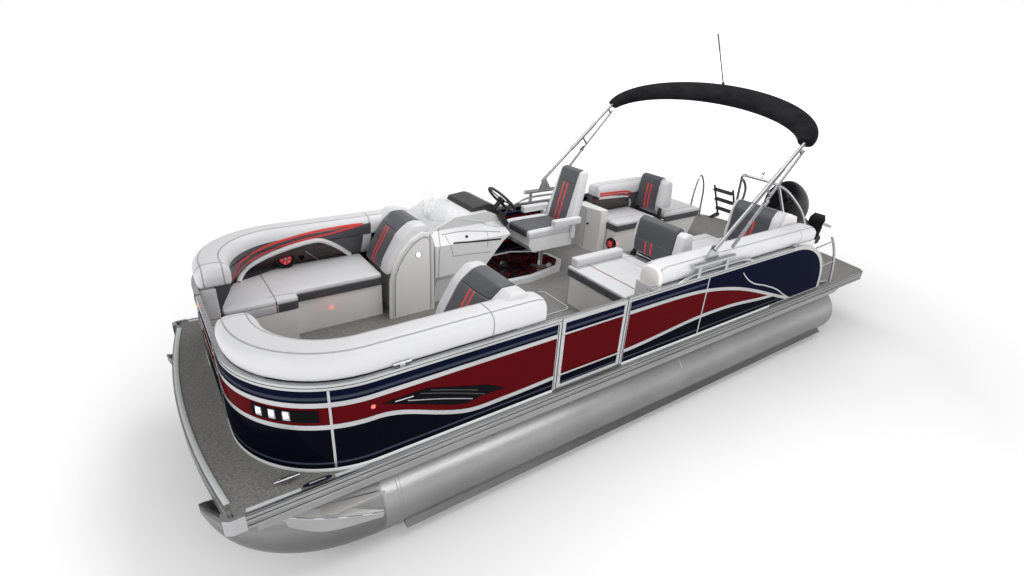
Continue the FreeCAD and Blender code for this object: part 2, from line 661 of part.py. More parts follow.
def windscreen():
    """Low raked screen that wraps the front of the console's top."""
    x, y, z0 = -2765, -835, 1560
    shell = Part.makeCone(520, 440, 330, V(x, y, z0)).cut(Part.makeCone(513, 433, 330, V(x, y, z0)))
    screen = shell.common(box(-2200, -2560, -1140, -600, z0, z0 + 330))
    slope = prism_xz([(-2100, 1905), (-2320, 1905), (-2565, 1835), (-2565, 2000), (-2100, 2000)], -1300, -400)
    seat = console()
    seat.translate(V(0, 0, SEAT_GAP))
    return screen.cut(slope).cut(seat).Solids[0]


def dash():
    """Dark padded brow and the instrument pod under it, facing the helm chair."""
    return prism_xz([(-2640, 1741.5), (-2665, 1782), (-2850, 1802), (-2910, 1785), (-2990, 1640), (-2985, 1590),
                     (-2906, 1704), (-2800, 1745.5)], -1110, -600)


def throttle():
    """Remote control box and lever beside the wheel."""
    base = prism_xz([(-2905, 1702), (-2998, 1564), (-3040, 1600), (-2940, 1745)], -548, -500)
    lever = rod(V(-2980, -524, 1660), V(-3060, -524, 1790), 10)
    knob = Part.makeSphere(22, V(-3062, -524, 1800))
    return join([base, lever, knob])


def steering_wheel():
    """Rim, spokes and hub, and the column that carries them."""
    axis = V(-math.cos(math.radians(WHEEL_LEAN)), 0, math.sin(math.radians(WHEEL_LEAN)))
    rim = Part.makeTorus(WHEEL_R - 14, 14)
    hub = Part.makeCylinder(42, 30, V(0, 0, -22))
    shapes = [rim, hub]
    for i in range(3):
        spoke = box(20, WHEEL_R - 16, -13, 13, -9, -1)
        spoke.rotate(V(0, 0, 0), UP, 90 + 120 * i)
        shapes.append(spoke)
    wheel = join(shapes)
    turn = FreeCAD.Rotation(UP, axis)
    wheel.Placement = FreeCAD.Placement(WHEEL_AT, turn)
    end = WHEEL_AT - axis * 24
    start = WHEEL_AT - axis * 190
    column = rod(start, end - axis * SEAT_GAP, 26)
    return wheel, column


def helm_dais():
    """Low platform under the helm chair."""
    plan = prism_xy([(-2700, -500), (-3400, -470), (-3860, -560), (-4010, -720), (-3990, -940),
                     (-3860, -1100), (-3600, -SEAT_OUT), (-2700, -SEAT_OUT)], DECK_TOP, DECK_TOP + DAIS_H - 8)
    body = plan.cut(box(-2690, -2600, -1300, -400, 800, 1000))
    mat = prism_xy([(-2760, -560), (-3400, -530), (-3820, -610), (-3945, -740), (-3925, -920),
                    (-3820, -1050), (-3570, -1165), (-2760, -1165)],
                   DECK_TOP + DAIS_H - 8, DECK_TOP + DAIS_H)
    body = body.cut(prism_xz([(-2100, 800), (-2735, 800), (-2735, 1000), (-2100, 1000)], -1300, -400))
    mat = mat.cut(prism_xz([(-2100, 800), (-2795, 800), (-2795, 1000), (-2100, 1000)], -1300, -400))
    return body, mat


def chair():
    """Helm chair: fixed pedestal, and the seat, back and arms that turn on it."""
    z0 = DECK_TOP + DAIS_H
    x, y = CHAIR_AT.x, CHAIR_AT.y
    foot = Part.makeCone(150, 110, 22, V(x, y, z0))
    post = Part.makeCylinder(38, 250, V(x, y, z0))
    pedestal = join([foot, post])
    z1 = z0 + 250 + SEAT_GAP
    plate = box(x - 130, x + 130, y - 110, y + 110, z1, z1 + 30)
    base = prism_xz([(x - 250, z1 + 30), (x + 300, z1 + 30), (x + 360, z1 + 110), (x + 350, z1 + 190),
                     (x - 260, z1 + 190)], y - 245, y + 245)
    frame = join([plate, base])
    cushion = box(x - 200, x + 365, y - 250, y + 250, z1 + 190 + SEAT_GAP, z1 + 270)
    cushion = round_edges(cushion, 26, lambda e: e.BoundBox.ZMin > z1 + 260)
    back = prism_xz([(x - 202, z1 + 190 + SEAT_GAP), (x - 300, z1 + 190 + SEAT_GAP),
                     (x - 405, z1 + 800), (x - 370, z1 + 850),
                     (x - 300, z1 + 830)], y - 235, y + 235)
    arms = []
    for s in (1, -1):
        arm = box(x - 300, x + 80, y + s * 252, y + s * 325, z1 + 300, z1 + 375)
        link = box(x - 255, x - 205, y + s * 245.3, y + s * 290, z1 + 120, z1 + 305)
        arms.append(join([arm, link]))
    return pedestal, frame, cushion, back, gather(arms)


# Aft seating
def cabinet():
    """Tall cupboard ahead of the starboard aft lounge."""
    return prism_xy([(-4600, -SEAT_OUT), (-4600, -1010), (-4660, -790), (-4770, -790), (-4770, -SEAT_OUT)],
                    DECK_TOP, 1425)


def starboard_lounge():
    """Base, cushions and panel of the starboard aft lounge."""
    x = STAR_FLIP_X
    base = prism_xz([(-4790, DECK_TOP), (-4790, SEAT_BASE_TOP), (-6390, SEAT_BASE_TOP), (-6240, DECK_TOP)],
                    -SEAT_OUT, -640)
    front = box(x + 90, -4780, -1110, -612, SEAT_BASE_TOP + SEAT_GAP, SEAT_TOP)
    aft = box(-6400, x - 90, -1110, -612, SEAT_BASE_TOP + SEAT_GAP, SEAT_TOP)
    mid = box(x - 85, x + 85, -1110, -585, SEAT_BASE_TOP + SEAT_GAP, FLIP_FOOT_Z)
    panel = box(-6390, -4790, -1229, -1115, SEAT_BASE_TOP + SEAT_GAP, FENCE_Z1 - 20)
    panel = panel.common(prism_xz([(-4700, 1100), (-4700, 1600), (-5450, 1600), (-6000, 1330),
                                   (-6100, 1181), (-6100, 1100)], -1300, -1000))
    return base, gather([front, aft, mid]), panel


def flip_back(x, y0, y1, tall):
    """A seat back on two black arms, and the fixed pivot bar under it."""
    z0 = SEAT_TOP + 12
    pivot_z = FLIP_PIVOT_Z
    pad = prism_xz([(x + 78, z0 + 42), (x + 82, z0 + 150), (x + 58, z0 + tall), (x + 15, z0 + tall + 35),
                    (x - 58, z0 + tall + 22), (x - 88, z0 + 150), (x - 78, z0 + 42)], y0 + 30, y1 - 30)
    pad = round_edges(pad, 22, lambda e: e.BoundBox.YLength < 1 and e.BoundBox.ZMin > z0 + 35)
    arms = []
    for y in (y0, y1):
        inward = 1 if y == y0 else -1
        blade = prism_xz([(x + 20, pivot_z), (x - 20, pivot_z), (x - 22, z0 + 200), (x + 22, z0 + 200)],
                         y, y + inward * 29.7)
        eye = rod(V(x, y, pivot_z), V(x, y + inward * 29.7, pivot_z), 20)
        bore = rod(V(x, y - 40, pivot_z), V(x, y + 40, pivot_z), 9 + RUN_GAP)
        arms.append(join([blade, eye]).cut(bore))
    bar = rod(V(x, y0 - 22, pivot_z), V(x, y1 + 22, pivot_z), 9)
    shapes = [bar]
    for y in (y0 - 22, y1 + 8):
        shapes.append(box(x - 22, x + 22, y, y + 14, FLIP_FOOT_Z + SEAT_GAP, pivot_z + 20))
    return pad, gather(arms), join(shapes)


def port_lounge():
    """Base, cushions and panel of the port aft lounge."""
    base = join([box(-3400, -5590, 130, SEAT_OUT, DECK_TOP, SEAT_BASE_TOP)])
    front = box(-3370, -4170, 110, 970, SEAT_BASE_TOP + SEAT_GAP, SEAT_TOP - 10)
    aft = box(-4400, -5580, 110, 970, SEAT_BASE_TOP + SEAT_GAP, SEAT_TOP - 10)
    mid = box(-4175, -4395, 110, 970, SEAT_BASE_TOP + SEAT_GAP, FLIP_FOOT_Z)
    bolster = box(-3400, -4050, 112, 215, SEAT_TOP - 10 + SEAT_GAP, SEAT_TOP + 85)
    panel = box(-3400, -5590, 975, 1229, SEAT_BASE_TOP + SEAT_GAP, FENCE_Z1 - 20)
    return base, gather([front, aft, mid]), bolster, panel


def aft_back():
    """Shell and pad of the back that closes the port lounge at the stern."""
    shell = prism_xz([(-5591, DECK_TOP), (-5640, 1580), (-5680, 1735), (-5750, 1770), (-5880, 1725),
                      (-5950, 1560), (-5990, DECK_TOP)], 330, SEAT_OUT)
    shell = shell.cut(box(-5500, -6100, COAMING_IN_Y - 5, 1300, FENCE_Z1 - 1, 1900))
    foot = box(-5591, -5990, 132, 331, DECK_TOP, SEAT_BASE_TOP)
    pad = prism_xz([(-5583, SEAT_TOP), (-5560, 1330), (-5592, 1690), (-5650, 1780), (-5735, 1780),
                    (-5682, 1739), (-5641, 1585), (-5592, SEAT_TOP)], 370, 960)
    pad = pad.cut(shell)
    return shell.fuse(foot), pad


def aft_coaming(side, x0, x1):
    """Padded roll over the fence beside an aft lounge."""
    z0 = FENCE_Z1 + SEAT_GAP
    roll = box(x0, x1, COAMING_IN_Y, FENCE_Y - AFT_COAMING_OUT, z0, COAMING_TOP - 20)
    roll = round_edges(roll, 66, lambda e: lengthwise(e) and e.BoundBox.ZMin > z0 + 10)
    tail = prism_xz([(x1 + 200, z0 - 5), (x1 + 200, COAMING_TOP), (x1 + 60, COAMING_TOP), (x1, z0 + 90),
                     (x1 - 5, z0 - 5)], FENCE_Y - COAMING_W - 5, FENCE_Y)
    front = box(x0 - 5, x1 + 190, FENCE_Y - COAMING_W - 5, FENCE_Y, z0 - 5, COAMING_TOP)
    roll = roll.common(join([tail, front]))
    return sided(roll, side)


# Canopy
def on_pole(distance, y, off=0.0):
    """A point on the canopy pole line, with an offset square to it."""
    a = math.radians(CANOPY_ANGLE)
    x = CANOPY_PIVOT.x - distance * math.cos(a) - off * math.sin(a)
    z = CANOPY_PIVOT.z + distance * math.sin(a) - off * math.cos(a)
    return V(x, y, z)


def canopy_rails():
    """Slide rails and arched hand rails on the fence tops, with the pivot brackets."""
    shapes = []
    for s in (1, -1):
        y = s * CANOPY_Y
        rail = rod(V(-3780, y, SLIDE_Z), V(-4370, y, SLIDE_Z), SLIDE_R)
        hand = bent_tube([V(-3620, y, FENCE_Z1 - 12), V(-3700, y, FENCE_Z1 + 14), V(-3830, y, FENCE_Z1 + 42),
                          V(-4060, y, FENCE_Z1 + 52), V(-4400, y, FENCE_Z1 + 50), V(-4600, y, FENCE_Z1 + 38),
                          V(-4690, y, FENCE_Z1 + 12), V(-4730, y, FENCE_Z1 - 12)], 13)
        hand = hand.cut(box(-3500, -4800, y - 40, y + 40, FENCE_Z1 - 60, FENCE_Z1))
        shape = rail.fuse(hand)
        for x in (-3880.0, -4280.0):
            shape = shape.fuse(box(x - 20, x + 20, y - 10, y + 10, FENCE_Z1, SLIDE_Z))
        bracket = prism_xz([(-3970, SLIDE_Z + 10), (-4036, CANOPY_PIVOT.z + 16), (-4084, CANOPY_PIVOT.z + 16),
                            (-4170, SLIDE_Z + 10)], y - 6, y + 6)
        bracket.translate(V(0, -s * 27, 0))
        seat = box(-3970, -4170, y - s * 33, y, SLIDE_Z + 10, SLIDE_Z + 20)
        pin = rod(V(CANOPY_PIVOT.x, y - s * 33, CANOPY_PIVOT.z), V(CANOPY_PIVOT.x, y + s * 22, CANOPY_PIVOT.z), 7)
        for piece in (bracket, seat, pin):
            shape = shape.fuse(piece)
        shapes.append(shape)
    return gather(shapes)


def canopy_arch(reach, rise, off, steps=8):
    """Points of an arch that joins the two pole ends in the plane of the poles."""
    points = []
    for i in range(steps + 1):
        t = math.pi * i / steps
        points.append(on_pole(reach + rise * math.sin(t), CANOPY_Y * math.cos(t), off))
    return points


def canopy_leg():
    """Port pole with its joint sleeve, the second pole beside it and the ear that holds the brace."""
    y = CANOPY_Y
    pole = rod(on_pole(-28, y), on_pole(CANOPY_REACH, y), CANOPY_POLE_R)
    sleeve = rod(on_pole(STRUT_PIVOT_AT - 120, y), on_pole(STRUT_PIVOT_AT + 330, y), CANOPY_POLE_R + 6)
    joint = on_pole(STRUT_PIVOT_AT, y, STRUT_PIVOT_OFF)
    upper = joint.add(on_pole(CANOPY_REACH - 20, y, 70).sub(joint).multiply(0.06))
    second = rod(upper, on_pole(CANOPY_REACH - 20, y, 70), 13)
    link = rod(on_pole(CANOPY_REACH - 60, y, 70), on_pole(CANOPY_REACH - 60, y), 12)
    block = rod(on_pole(STRUT_PIVOT_AT + 90, y, 118), on_pole(STRUT_PIVOT_AT + 90, y), 12)
    ear = box(-24, 50, 16, 22, -15, 15)
    root = box(28, 50, 4, 22, -11, 11)
    shapes = [pole, sleeve, second, link, block]
    for piece in (ear, root):
        piece.rotate(V(0, 0, 0), ACROSS, 180 + CANOPY_ANGLE)
        shapes.append(piece.translated(joint))
    shapes.append(rod(joint.add(V(0, 20, 0)), joint.add(V(0, -14, 0)), 6))
    leg = shapes[0]
    for shape in shapes[1:]:
        leg = leg.fuse(shape)
    y_pin = V(0, 60, 0)
    return leg.cut(rod(on_pole(0, y) - y_pin, on_pole(0, y) + y_pin, 7 + RUN_GAP))


def canopy_frame():
    """The arched bow and the two legs that it plugs into."""
    arch = bent_tube(canopy_arch(CANOPY_REACH + SEAT_GAP, CANOPY_RISE, 0.0), CANOPY_POLE_R - 2)
    leg = canopy_leg()
    return gather([leg, mirror(leg), arch])


def canopy_boot():
    """Rolled canvas in its dark boot round the arch, thick over the shoulders and tied at the ends."""
    rings = []
    steps = 16
    for i in range(steps + 1):
        t = math.pi * (0.015 + 0.97 * i / steps)
        centre = on_pole(CANOPY_REACH + CANOPY_RISE * math.sin(t), CANOPY_Y * math.cos(t), 10)
        ahead = on_pole(CANOPY_RISE * math.cos(t), -CANOPY_Y * math.sin(t)).sub(on_pole(0, 0))
        fill = math.sin(t) ** 0.35
        wide = 46 + 76 * fill
        thin = 40 + 38 * fill
        plane_normal = on_pole(0, 0, -1).sub(on_pole(0, 0))
        across = plane_normal.cross(ahead).normalize()
        ellipse = Part.Ellipse(centre.add(across.multiply(wide)), centre.add(plane_normal.multiply(thin)), centre)
        rings.append(Part.Wire([ellipse.toShape()]))
    sleeve = bent_tube(canopy_arch(CANOPY_REACH, CANOPY_RISE, 0.0), CANOPY_POLE_R - 2 + SEAT_GAP)
    return Part.makeLoft(rings, True, False).cut(sleeve)


def canopy_strut(side):
    """Brace from the joint block down to the slide rail."""
    y = side * CANOPY_Y
    top = on_pole(STRUT_PIVOT_AT, y, STRUT_PIVOT_OFF)
    foot = on_pole(STRUT_FOOT_AT, y, STRUT_FOOT_OFF)
    bar = rod(top, foot, 15)
    eye = rod(top - V(0, 13, 0), top + V(0, 13, 0), 18)
    pin = rod(top - V(0, 60, 0), top + V(0, 60, 0), 6 + RUN_GAP)
    return join([bar, eye]).cut(pin)


def mast():
    """Whip light on top of the boot, square to the poles."""
    foot = on_pole(CANOPY_REACH + CANOPY_RISE + 100, 0.0, 10)
    tip = V(-5190, 0, 3490)
    base = foot.add(tip.sub(foot).multiply(0.1))
    whip = join([rod(foot, base, 14), rod(foot, tip, 6)])
    return whip.cut(canopy_boot())


# Stern fittings
def stern_rails():
    """Bowed stanchions with hand rails to the fence's tail, and the hoop beside the ladder."""
    y = FENCE_Y - 27
    z0 = DECK_TOP + SEAT_GAP
    post = bent_tube([V(-6622, y, DECK_TOP - 20), V(-6600, y, 1020), V(-6540, y, 1190), V(-6420, y, 1380),
                      V(-6290, y, 1520)], 15)
    post = post.cut(box(-6000, -7000, y - 60, y + 60, 700, z0))
    upper = rod(V(-5800, y, 1400), V(-6370, y, 1435), 9)
    lower = rod(V(-6060, y, 1130), V(-6540, y, 1160), 8)
    foot = rod(V(-6618, y, z0), V(-6618, y, DECK_TOP + 8), 30)
    port = post.fuse(upper).fuse(lower).fuse(foot)
    tail = tail_face(SIDE_GATE_X1, 0, 0, FENCE_Z0).extrude(V(0, FENCE_T + 20, 0))
    tail.translate(V(0, FENCE_Y - FENCE_T - 10, 0))
    port = port.cut(tail)
    hoop = bent_tube([V(-7045, -y, DECK_TOP - 20), V(-7060, -y, 1180), V(-7095, -y, 1400), V(-7165, -y, 1540),
                      V(-7245, -y, 1450), V(-7305, -y, 1220), V(-7340, -y, DECK_TOP - 20)], 15)
    hoop = hoop.cut(box(-6000, -7600, -y - 60, 60 - y, 700, z0))
    for x in (-7045, -7337):
        hoop = hoop.fuse(rod(V(x, -y, z0), V(x, -y, DECK_TOP + 8), 30))
    return gather([port, mirror(port), hoop])


def ski_bar():
    """Tow bar: one bent hoop that leans forward over the motor, and its two front legs."""
    half = [V(-7190, 560, DECK_TOP), V(-7200, 520, 1150), V(-7150, 450, 1400), V(-6950, 350, 1640),
            V(-6700, 275, 1800), V(-6610, 190, 1840)]
    other = [V(p.x, -p.y, p.z) for p in reversed(half)]
    shape = bent_tube(half + [V(-6595, 0, 1845)] + other, 19)
    for side in (1, -1):
        shape = shape.fuse(rod(V(-6690, side * 268, 1804), V(-7060, side * 470, DECK_TOP), 17))
        shape = shape.fuse(rod(V(-7190, side * 560, DECK_TOP + SEAT_GAP), V(-7190, side * 560, DECK_TOP + 8), 38))
        shape = shape.fuse(rod(V(-7060, side * 470, DECK_TOP + SEAT_GAP), V(-7060, side * 470, DECK_TOP + 8), 34))
    shape = shape.fuse(rod(V(-6597, 75, 1850), V(-6597, 75, 1925), 7))
    shape = shape.fuse(Part.makeSphere(22, V(-6597, 75, 1930)))
    return shape.cut(box(-6500, -7500, -900, 900, DECK_TOP - 100, DECK_TOP + SEAT_GAP))


def ladder():
    """Boarding ladder, folded up at the stern edge, and its hinge lugs."""
    x, z = LADDER_AT
    rails = []
    for y in LADDER_Y:
        rails.append(rod(V(x, y, z - 12), V(x, y, z + 560), 15))
    for i in range(3):
        step_z = z + 130 + 180 * i
        rails.append(box(x - 12, x + 46, LADDER_Y[0], LADDER_Y[1], step_z, step_z + 22))
    moving = join(rails)
    lugs = []
    for y in LADDER_Y:
        pin = rod(V(x, y - 26, z), V(x, y + 26, z), 7)
        shapes = [pin]
        for inner in (y - 28, y + 20):
            shapes.append(prism_xz([(x + 190, RAIL_Z1 + SEAT_GAP), (x + 20, RAIL_Z1 + SEAT_GAP), (x - 14, z - 10),
                                    (x - 14, z + 12), (x + 20, z + 14), (x + 190, RAIL_Z1 + 10)], inner, inner + 8))
        shapes.append(box(x + 60, x + 190, y - 28, y + 28, RAIL_Z1 + SEAT_GAP, RAIL_Z1 + 8))
        lugs.append(join(shapes))
        moving = moving.cut(rod(V(x, y - 30, z), V(x, y + 30, z), 7 + RUN_GAP))
    moving.rotate(V(x, 0, z), ACROSS, LADDER_LEAN)
    return moving, gather(lugs)


def cleats():
    """Mooring cleats on the fence tops and at the deck's corners."""
    shapes = []
    for s in (1, -1):
        for x in (-1060.0, -3300.0, -5500.0):
            bar = rod(V(x - 60, s * 1247, FENCE_Z1 + 22), V(x + 60, s * 1247, FENCE_Z1 + 22), 7)
            foot = box(x - 18, x + 18, s * 1239, s * 1255, FENCE_Z1, FENCE_Z1 + 22)
            shapes.append(join([bar, foot]))
        for x, y in ((-330.0, 1150.0), (-6500.0, 1215.0)):
            bar = rod(V(x - 75, s * y, DECK_TOP + 30), V(x + 75, s * y, DECK_TOP + 30), 10)
            foot = box(x - 30, x + 30, s * y - 18, s * y + 18, DECK_TOP + SEAT_GAP, DECK_TOP + 30)
            shapes.append(join([bar, foot]))
    return gather(shapes)


# Motor mount and motor
def motor_pod():
    """Box transom under the deck that carries the motor."""
    aft = TILT_AT.x + 110
    body = prism_xz([(-6993, 250), (aft, 250), (aft, RAIL_Z0 - SEAT_GAP), (-7580, RAIL_Z0 - SEAT_GAP),
                     (-7580, DECK_TOP - DECK_T - SEAT_GAP), (-7240, DECK_TOP - DECK_T - SEAT_GAP),
                     (-7240, MEMBER_Z - 1), (-6993, MEMBER_Z - 1)], -290, 290)
    return body


def set_motor(shape):
    """Move a shape drawn upright about the tilt axis to its tilted place."""
    shape.rotate(V(0, 0, 0), ACROSS, TILT_ANGLE)
    shape.translate(TILT_AT)
    return shape


def motor_clamp():
    """Fixed cheeks on the transom with the tilt tube between them."""
    cheeks = []
    for s in (1, -1):
        cheeks.append(prism_xz([(109.7, 15), (30, 33), (-30, 30), (-42, -20), (40, -330), (109.7, -360)],
                               s * 105, s * 125))
    tube_bar = rod(V(0, -125, 0), V(0, 125, 0), 18)
    shape = join(cheeks + [tube_bar])
    shape.translate(TILT_AT)
    return shape


def motor_swivel():
    """Swivel bracket: knuckle on the tilt tube and the steering tube."""
    knuckle = rod(V(0, -99, 0), V(0, 99, 0), 38)
    web = prism_xz([(10, 22), (-140, 20), (-150, -500), (-110, -510), (-20, -60)], -45, 45)
    post = Part.makeCylinder(48, 560, V(STEER_X, 0, -535))
    shape = join([knuckle, web, post])
    shape = shape.cut(rod(V(0, -130, 0), V(0, 130, 0), 18 + RUN_GAP))
    return set_motor(shape)


def oval(x0, x1, half, z, nose=0.5):
    """A closed egg-shaped wire in plan at height z."""
    mid = x0 + (x1 - x0) * nose
    points = [V(x0, 0, z), V((x0 + mid) / 2, half * 0.82, z), V(mid, half, z), V((x1 + mid) / 2, half * 0.86, z),
              V(x1, 0, z), V((x1 + mid) / 2, -half * 0.86, z), V(mid, -half, z), V((x0 + mid) / 2, -half * 0.82, z)]
    curve = Part.BSplineCurve()
    curve.interpolate(points, PeriodicFlag=True)
    return Part.Wire([curve.toShape()])


def motor_cowl():
    """Engine cover."""
    rings = [oval(-45, -640, 190, 122), oval(-30, -690, 225, 250), oval(-20, -700, 230, 420),
             oval(-40, -670, 222, 600), oval(-110, -600, 185, 720), oval(-230, -480, 100, 765)]
    return set_motor(Part.makeLoft(rings, True, False))


def motor_leg():
    """Midsection, from the steering yokes down to the gearcase."""
    upper = prism_xz([(-85, 25.3), (-200, 25.3), (-420, 40), (-420, 121), (-110, 121), (-80, 60)], -95, 95)
    lower = prism_xz([(-85, -535.3), (-300, -535.3), (-300, -600), (-110, -590)], -62, 62)
    rings = [oval(-205, -450, 90, 60), oval(-205, -430, 78, -200), oval(-205, -410, 66, -560),
             oval(-190, -400, 58, -640)]
    leg = Part.makeLoft(rings, True, False)
    shape = join([leg, upper, lower])
    shape = shape.cut(Part.makeCylinder(60, 560.6, V(STEER_X, 0, -535.3)))
    return set_motor(shape)


def motor_gearcase():
    """Lower unit with its ventilation plate, bullet and skeg."""
    rings = [oval(-150, -420, 45, -638, 0.35), oval(-130, -440, 34, -760, 0.35), oval(-120, -430, 34, -860, 0.35)]
    strut = Part.makeLoft(rings, True, False)
    plate = prism_xy([(-110, 0), (-180, 85), (-560, 120), (-640, 80), (-640, -80), (-560, -120), (-180, -85)],
                     -700, -690)
    profile = [V(-70, 0, PROP_Z), V(-90, 0, PROP_Z + 26), V(-150, 0, PROP_Z + 52), V(-260, 0, PROP_Z + 60),
               V(-400, 0, PROP_Z + 56), V(-490, 0, PROP_Z + 50)]
    curve = Part.BSplineCurve()
    curve.interpolate(profile)
    face = Part.Face(Part.Wire([curve.toShape(), Part.makeLine(profile[-1], V(-490, 0, PROP_Z)),
                                Part.makeLine(V(-490, 0, PROP_Z), profile[0])]))
    bullet = face.revolve(V(0, 0, PROP_Z), AHEAD, 360)
    skeg = prism_xz([(-180, PROP_Z - 30), (-270, PROP_Z - 240), (-370, PROP_Z - 250), (-420, PROP_Z - 30)], -6, 6)
    return set_motor(join([strut, plate, bullet, skeg]))


def propeller():
    """Three-bladed propeller."""
    hub = Part.makeCone(50, 42, 120, V(-492, 0, PROP_Z), V(-1, 0, 0))
    shapes = [hub]
    for i in range(3):
        blade = Part.makeCylinder(70, 7, V(0, 0, -3.5))
        blade.rotate(V(0, 0, 0), V(0, 1, 0), 90)
        blade.rotate(V(0, 0, 0), V(0, 0, 1), 28)
        blade.translate(V(-550, 0, PROP_Z + 96))
        blade.rotate(V(0, 0, PROP_Z), AHEAD, 120 * i)
        shapes.append(blade)
    return set_motor(join(shapes))


def floor_locker():
    """Tub under the floor hatch."""
    z0 = DECK_TOP - DECK_T - LOCKER_DEPTH
    outer = box(HATCH_X0 + 0.3, HATCH_X1 - 0.3, 0.3 - HATCH_HALF, HATCH_HALF - 0.3, z0, DECK_TOP - HATCH_T - 3)
    inner = box(HATCH_X0 + 0.3 + LOCKER_WALL, HATCH_X1 - 0.3 - LOCKER_WALL, LOCKER_WALL + 0.3 - HATCH_HALF,
                HATCH_HALF - 0.3 - LOCKER_WALL, z0 + LOCKER_WALL, DECK_TOP)
    return outer.cut(inner)


def hatch_lid():
    """Floor hatch lid, flush with the deck."""
    gap = 6.0
    lid = box(HATCH_X0 + gap, HATCH_X1 - gap, gap - HATCH_HALF, HATCH_HALF - gap,
              DECK_TOP - HATCH_T + 3, DECK_TOP + 3)
    shapes = [lid]
    for x in (HATCH_X0 + 120, HATCH_X1 - 120):
        z = DECK_TOP + SEAT_GAP + HINGE_R
        shapes.append(rod(V(x - 40, -HATCH_HALF, z), V(x + 40, -HATCH_HALF, z), HINGE_R))
        shapes.append(box(x - 40, x + 40, -HATCH_HALF, 30 - HATCH_HALF, DECK_TOP + 2, DECK_TOP + 7))
    return join(shapes)


def save(name, shape):
    """Write one node, moved so that the origin is under the middle of the boat."""
    moved = shape.copy()
    moved.translate(V(MIDDLE_X, 0, 0))
    moved.exportStep("parts/" + name + ".step")


def hull_nodes():
    """Tubes, floor structure, deck and its edge."""
    pontoon = tube()
    port = pontoon.fuse(nose_fin())
    port.translate(V(0, TUBE_Y, 0))
    starboard = mirror(port)
    sides, star_side, bow, stern = rub_rails()
    return {
        "outer_tubes": gather([port, starboard]),
        "centre_tube": pontoon,
        "tube_risers": tube_risers(),
        "cross_members": cross_members(),
        "side_skirts": side_skirts(),
        "deck": deck(),
        "rub_rails": gather([sides, star_side, bow, stern]),
        "corner_caps": corner_caps(),
        "floor_locker": floor_locker(),
        "hatch_lid": hatch_lid(),
    }


def fence_nodes():
    """Fence quarters and the two gates."""
    frames = []
    skins = []
    trims = []
    inserts = []
    for side in (1, -1):
        frames.append(fence_frame(side, side > 0))
        skins.append(fence_skin_bow(side))
        trims.append(bow_trim(side))
        inserts.extend(fence_inserts(side))
        start = SIDE_GATE_X1 if side > 0 else SIDE_GATE_X0 - 0.5
        frame, skin = fence_aft(side, start)
        frames.append(frame)
        skins.append(skin)
        trims.append(aft_trim(side, start))
    bow_frame, bow_skin = bow_gate()
    side_frame, side_skin = side_gate()
    return {
        "fence_frames": gather(frames),
        "fence_skins": gather(skins),
        "fence_trim": gather(trims),
        "fence_inserts": gather(inserts),
        "bow_gate_frame": bow_frame,
        "bow_gate_skin": bow_skin,
        "side_gate_frame": side_frame,
        "side_gate_skin": side_skin,
        "cleats": cleats(),
    }


def seat_nodes():
    """Lounges, their backs and the padded rolls."""
    bases, cushions, panels, rolls, shells, pads = [], [], [], [], [], []
    for side in (1, -1):
        base, cushion, panel = bow_lounge(side)
        bases.append(base)
        cushions.append(cushion)
        panels.append(panel)
        rolls.append(bow_coaming(side))
        shell, pad = chaise_back(side)
        shells.append(shell)
        pads.append(pad)
    base, aft_cushions, panel = starboard_lounge()
    bases.append(base)
    cushions.extend(aft_cushions.Solids)
    panels.append(panel)
    base, aft_cushions, bolster, panel = port_lounge()
    bases.append(base)
    cushions.extend(aft_cushions.Solids)
    panels.append(panel)
    rolls.append(aft_coaming(1, -3440.0, -5950.0))
    rolls.append(aft_coaming(-1, -4780.0, -5950.0))
    star_pad, star_arms, star_pivot = flip_back(STAR_FLIP_X, -1015.0, -610.0, 450.0)
    port_pad, port_arms, port_pivot = flip_back(PORT_FLIP_X, 140.0, 730.0, 385.0)
    back_shell, back_pad = aft_back()
    return {
        "seat_bases": gather(bases),
        "seat_cushions": gather(cushions),
        "side_panels": gather(panels),
        "coamings": gather(rolls),
        "chaise_shells": gather(shells),
        "chaise_pads": gather(pads),
        "cabinet": cabinet(),
        "aft_bolster": bolster,
        "aft_back_shell": back_shell,
        "aft_back_pad": back_pad,
        "flip_back_starboard": star_pad,
        "flip_arms_starboard": star_arms,
        "flip_back_port": port_pad,
        "flip_arms_port": port_arms,
        "flip_pivots": gather([star_pivot, port_pivot]),
    }


def helm_nodes():
    """Console, controls and the helm chair."""
    wheel, column = steering_wheel()
    pedestal, frame, cushion, back, arms = chair()
    body, mat = helm_dais()
    return {
        "console": console(),
        "windscreen": windscreen(),
        "dash": join([dash(), column]),
        "throttle": throttle(),
        "steering_wheel": wheel,
        "helm_dais": join([body, mat]),
        "chair_pedestal": pedestal,
        "chair_frame": frame,
        "chair_cushion": cushion,
        "chair_back": back,
        "chair_arms": arms,
    }


def canopy_nodes():
    """Folded canopy, its frame and its rails."""
    return {
        "canopy_rails": canopy_rails(),
        "canopy_frame": canopy_frame(),
        "canopy_boot": canopy_boot(),
        "canopy_struts": gather([canopy_strut(1), canopy_strut(-1)]),
        "mast": mast(),
    }


def stern_nodes():
    """Rails, ladder, motor and its mount."""
    moving, lugs = ladder()
    return {
        "stern_rails": stern_rails(),
        "ski_bar": ski_bar(),
        "ladder": moving,
        "ladder_lugs": lugs,
        "motor_pod": motor_pod(),
        "motor_clamp": motor_clamp(),
        "motor_swivel": motor_swivel(),
        "motor_cowl": motor_cowl(),
        "motor_leg": join([motor_leg(), motor_gearcase()]),
        "propeller": propeller(),
    }


def main():
    groups = (hull_nodes, fence_nodes, seat_nodes, helm_nodes, canopy_nodes, stern_nodes)
    for group in groups:
        for name, shape in group().items():
            save(name, shape)


main()
